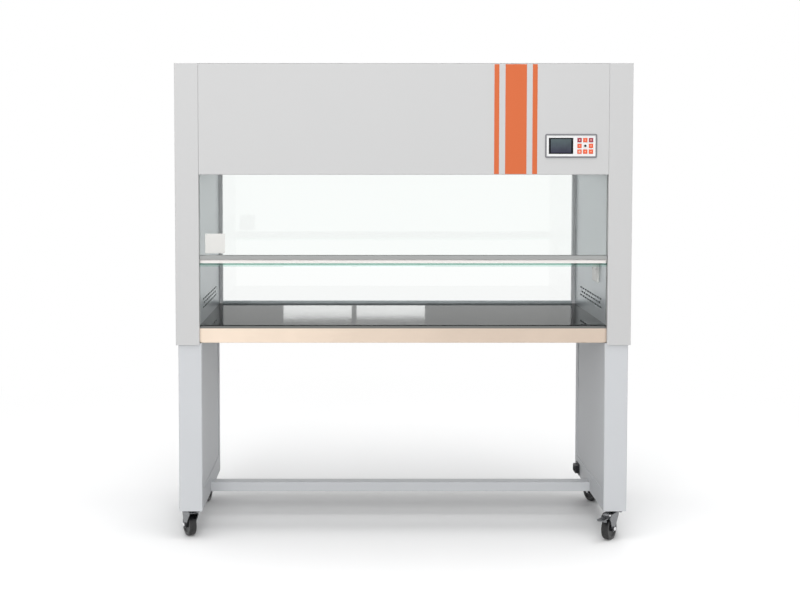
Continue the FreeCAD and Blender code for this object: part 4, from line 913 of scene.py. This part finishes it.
# %% Caster screws
plate_thickness = 3 * mm
plate_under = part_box("caster_plates")[1].z - plate_thickness
screw_reach = 22 * mm
head_radius, head_height = 5.8 * mm, 3.2 * mm
washer_radius, washer_height = 6.4 * mm, 0.9 * mm
washer = begin("washer_pattern", bpy.ops.mesh.primitive_cylinder_add, vertices=32,
               radius=washer_radius, depth=washer_height)
bevel_all(washer, 0.2 * mm)
put_in_place(washer, place=(0, 0, -washer_height / 2))
head = begin("head_pattern", bpy.ops.mesh.primitive_cylinder_add, vertices=6,
             radius=head_radius, depth=head_height)
bevel_all(head, 0.5 * mm, 3)
put_in_place(head, place=(0, 0, -washer_height - head_height / 2))
screw_pattern = joined("screw_pattern", [washer, head])
dress(zinc, "screw_pattern")
for corner in corners:
    x, y, z = joints[f"swivel_{corner}_turn"]["pos_m"]
    copies = [copy_of(screw_pattern, "screw", place=(x + dx, y + dy, plate_under))
              for dx in (-screw_reach, screw_reach) for dy in (-screw_reach, screw_reach)]
    screws = joined(f"caster_screws_{corner}", copies)
    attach(screws, "cabinet")
discard(screw_pattern)
print("caster screws", 4 * len(corners))

# %% [markdown]
# Pan-head screws with a cross recess hold the rear window frame, and flatter ones hold the
# back of the hood. Each head is modelled and cut with a cross, then copied to its places.

# %% Cross-head screws
def cross_head(name, radius, height):
    head = begin(name, bpy.ops.mesh.primitive_cylinder_add, vertices=40, radius=radius,
                 depth=height)
    bevel_all(head, min(height * 0.45, 0.8 * mm), 3)
    arms = []
    for size in ((radius * 1.1, radius * 0.24), (radius * 0.24, radius * 1.1)):
        arm = begin("arm", bpy.ops.mesh.primitive_cube_add, size=1.0,
                    location=(0, 0, height / 2))
        arm.scale = (*size, height)
        put_in_place(arm)
        arms.append(arm)
    for arm in arms:
        activate(head)
        cutter = head.modifiers.new("recess", "BOOLEAN")
        cutter.operation = "DIFFERENCE"
        cutter.object = arm
        bpy.ops.object.modifier_apply(modifier=cutter.name)
    discard(*arms)
    return head


def place_screws(name, pattern, places, sunk, body="cabinet"):
    """Copies of a head on a face that looks to the back, sunk into it by part of its height."""
    turn = from_z_to((0, 1, 0))
    copies = [copy_of(pattern, "screw", turn, (x, y - sunk, z)) for x, y, z in places]
    screws = joined(name, copies)
    dress(zinc, name)
    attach(screws, body)


cover_low, cover_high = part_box("hood_cover")
post_x = frame_high.x - 6 * mm
window_screw_inset, cover_screw_inset = 60 * mm, (16 * mm, 18 * mm)
window_screw = cross_head("window_screw_pattern", 3.2 * mm, 1.6 * mm)
place_screws("window_screws", window_screw,
             [(side * post_x, frame_high.y, z) for side in (-1, 1)
              for z in (frame_low.z + window_screw_inset, (frame_low.z + frame_high.z) / 2,
                        frame_high.z - window_screw_inset)], 0.2 * mm)
cover_screw = cross_head("cover_screw_pattern", 3.6 * mm, 1.2 * mm)
cover_screw_x = (-640 * mm, -215 * mm, 215 * mm, 640 * mm)
place_screws("cover_screws", cover_screw,
             [(x, cover_high.y, z) for x in cover_screw_x
              for z in (cover_low.z + cover_screw_inset[0],
                        cover_high.z - cover_screw_inset[1])], 0.35 * mm)
discard(window_screw, cover_screw)

# %% [markdown]
# The sash hangs on two steel ropes. Each rope is six strands laid round each other: a strand is a
# small circle that a screw modifier winds up along the rope, and the six start evenly spaced. The
# two upright runs are baked in place and tied to no body, and the half turn over the pulley stays
# where it is.

# %% Sash ropes
pulley = joints["pulley_right_turn"]["pos_m"]
rope_radius, strands, lay = 1.0 * mm, 6, 14 * mm
strand_radius = rope_radius / 3
pulley_radius, lug_drop = 30 * mm, 80 * mm
near_x, far_x = pulley[0] - pulley_radius, pulley[0] + pulley_radius
sash_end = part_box("sash_edge_rails")[1].z - lug_drop
weight_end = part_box("counterweight_right")[1].z


def rope_run(name, x, low, high):
    """An upright stretch of laid rope between two heights."""
    turns = max(1, round((high - low) / lay))
    pieces = []
    for index in range(strands):
        angle = 2 * math.pi * index / strands
        strand = begin("strand", bpy.ops.mesh.primitive_circle_add, vertices=6,
                       radius=strand_radius, rotation=(math.pi / 2, 0, angle),
                       location=(math.cos(angle) * (rope_radius - strand_radius),
                                 math.sin(angle) * (rope_radius - strand_radius), 0))
        bpy.ops.object.transform_apply(location=True, rotation=True, scale=True)
        winding = strand.modifiers.new("lay", "SCREW")
        winding.axis = "Z"
        winding.steps = winding.render_steps = 8
        winding.iterations = turns
        winding.screw_offset = (high - low) / turns
        bpy.ops.object.modifier_apply(modifier=winding.name)
        pieces.append(strand)
    rope = joined(name, pieces)
    put_in_place(rope, place=(x, pulley[1], low))
    activate(rope)
    bpy.ops.object.mode_set(mode="EDIT")
    bpy.ops.mesh.select_all(action="SELECT")
    bpy.ops.mesh.normals_make_consistent(inside=False)
    leave_edit()
    bpy.ops.object.shade_smooth()
    return rope


def rope_turn(name, side):
    """The half turn over the pulley, spun from a circle."""
    centre = Vector((side * pulley[0], pulley[1], pulley[2]))
    start = centre + Vector((-pulley_radius, 0, 0))
    turn = begin(name, bpy.ops.mesh.primitive_circle_add, vertices=14, radius=rope_radius,
                 location=start)
    bpy.ops.object.transform_apply(location=True, rotation=True, scale=True)
    bpy.ops.object.mode_set(mode="EDIT")
    bpy.ops.mesh.select_all(action="SELECT")
    bpy.ops.mesh.spin(steps=36, angle=math.pi, center=centre, axis=(0, 1, 0))
    bpy.ops.mesh.select_all(action="SELECT")
    bpy.ops.mesh.normals_make_consistent(inside=False)
    leave_edit()
    bpy.ops.object.shade_smooth()
    return turn


rope_steel = brushed("rope_steel", (0.52, 0.53, 0.55), (900.0, 900.0, 900.0), 0.3, 0.45)
for side, word in ((-1, "left"), (1, "right")):
    to_sash = rope_run(f"sash_rope_{word}", side * near_x, sash_end, pulley[2])
    to_weight = rope_run(f"weight_rope_{word}", side * far_x, weight_end, pulley[2])
    over = rope_turn(f"rope_turn_{word}", side)
    for piece in (to_sash, to_weight, over):
        dress(rope_steel, piece.name)
    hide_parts("cables")
    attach(over, "cabinet")
    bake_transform(to_sash)
    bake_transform(to_weight)
print("rope runs from", round(sash_end, 4), "and", round(weight_end, 4))

# %% [markdown]
# Each rope ends in a pressed sleeve. It is a short cylinder whose middle is pinched twice,
# as a crimping tool leaves it, one on the sash's lug and one on the weight's eye.

# %% Rope sleeves
sleeve_radius, sleeve_length, pinch = 2.4 * mm, 12 * mm, 0.82


def rope_sleeve(name, x, low, body):
    sleeve = begin(name, bpy.ops.mesh.primitive_cylinder_add, vertices=24,
                   radius=sleeve_radius, depth=sleeve_length)
    pick(sleeve, "EDGE", lambda middle, way: abs(way.z) > 0.9)
    bpy.ops.mesh.subdivide(number_cuts=7)
    for level in (-sleeve_length / 4, sleeve_length / 4):
        pick(sleeve, "EDGE", lambda middle, way, level=level:
             abs(middle.z - level) < 0.3 * mm and abs(way.z) < 0.1)
        bpy.ops.transform.resize(value=(pinch, pinch, 1.0))
    leave_edit()
    activate(sleeve)
    bpy.ops.object.shade_smooth_by_angle(angle=math.radians(50))
    put_in_place(sleeve, place=(x, pulley[1], low + sleeve_length / 2))
    dress(impeller_alloy, name)
    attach(sleeve, body)


for side, word in ((-1, "left"), (1, "right")):
    rope_sleeve(f"sash_sleeve_{word}", side * near_x, sash_end, "sash")
    rope_sleeve(f"weight_sleeve_{word}", side * far_x, weight_end, f"counterweight_{word}")

# %% [markdown]
# A square blank paper label sits on the left of the sash, just above the handle. Its
# corners are rounded and it is a fifth of a millimetre thick, so its edge still shows in a
# close view.

# %% Label
glass_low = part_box("sash_glass")[0]
label_size, label_thickness = 65 * mm, 0.2 * mm
label_x, label_z = -621 * mm, 989 * mm
label = begin("blank_label", bpy.ops.mesh.primitive_cube_add, size=1.0)
label.scale = (label_size, label_thickness, label_size)
put_in_place(label)
pick(label, "EDGE", lambda middle, way: abs(way.y) > 0.9)
bpy.ops.mesh.bevel(offset=3 * mm, segments=5)
leave_edit()
put_in_place(label, place=(label_x, glass_low.y - label_thickness / 2, label_z))
dress(label_paper, "blank_label")
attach(label, "sash")

# %% [markdown]
# The keys carry plain marks: arrows on the four keys round the middle one, a dot, a ring, a
# plus and a minus on the corner keys. Each mark is a thin raised shape on its own key, so it
# moves with the key when that is pressed.

# %% Key marks
mark_radius, mark_height = 3.0 * mm, 0.3 * mm


def flat_disc(name, sides, radius, turn=0.0):
    disc = begin(name, bpy.ops.mesh.primitive_cylinder_add, vertices=sides, radius=radius,
                 depth=mark_height, rotation=(0, 0, turn))
    put_in_place(disc)
    return disc


def flat_ring(name, radius):
    ring = flat_disc(name, 40, radius)
    pick(ring, "FACE", is_end)
    bpy.ops.mesh.inset(thickness=radius * 0.4)
    bpy.ops.mesh.delete(type="FACE")
    pick(ring, "EDGE", lambda middle, way: middle.xy.length < radius * 0.65)
    bpy.ops.mesh.bridge_edge_loops()
    leave_edit()
    return ring


def flat_cross(name, radius, arms):
    """A bar, or a plus where it has two pairs of arms."""
    width = radius * 0.5
    bar = begin(name, bpy.ops.mesh.primitive_cube_add, size=1.0)
    bar.scale = (width, width, mark_height)
    put_in_place(bar)
    for way in ((1, 0, 0), (-1, 0, 0), (0, 1, 0), (0, -1, 0))[:2 * arms]:
        way = Vector(way)
        pick(bar, "FACE", lambda centre, normal, way=way: normal.dot(way) > 0.9
             and abs(centre.dot(way) - width / 2) < 0.1 * mm)
        bpy.ops.mesh.extrude_region_move(
            TRANSFORM_OT_translate={"value": way * (radius - width / 2)})
    leave_edit()
    return bar


def key_mark(number):
    name = f"key_mark_{number}"
    arrow = {2: 90.0, 4: 180.0, 6: 0.0, 8: -90.0}
    if number in arrow:
        return flat_disc(name, 3, mark_radius, math.radians(arrow[number] - 90))
    if number == 5:
        return flat_disc(name, 40, mark_radius * 1.4)
    if number == 1:
        return flat_disc(name, 40, mark_radius * 0.8)
    if number == 3:
        return flat_ring(name, mark_radius)
    return flat_cross(name, mark_radius, 2 if number == 7 else 1)


for number_on_pad in range(1, 10):
    key = f"key_{number_on_pad}"
    low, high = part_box(key)
    mark = key_mark(number_on_pad)
    bevel_all(mark, 0.08 * mm, 1)
    put_in_place(mark, Matrix.Rotation(math.pi / 2, 3, "X").to_quaternion(),
                 ((low.x + high.x) / 2, low.y - mark_height / 2 + 0.02 * mm,
                  (low.z + high.z) / 2))
    dress(mark_black if number_on_pad == 5 else mark_white, mark.name)
    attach(mark, key)
print("key marks 9")

# %% [markdown]
# Two small screws hold the wall socket's plate. They sit in the middle of its left and
# right edges, where such plates have them.

# %% Socket screws
socket_low, socket_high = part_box("wall_socket")
socket_middle = (socket_low + socket_high) / 2
socket_screw_reach = 30 * mm
socket_screw = cross_head("socket_screw_pattern", 3.0 * mm, 1.2 * mm)
copies = [copy_of(socket_screw, "screw", from_z_to((-1, 0, 0)),
                  (socket_low.x, socket_middle.y + side * socket_screw_reach,
                   socket_middle.z))
          for side in (-1, 1)]
socket_screws = joined("socket_screws", copies)
dress(zinc, "socket_screws")
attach(socket_screws, "cabinet")
discard(socket_screw)

# %% [markdown]
# The dressed cabinet's size is measured over every shown object but the floor.

# %% Sizes and finish
low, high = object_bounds()
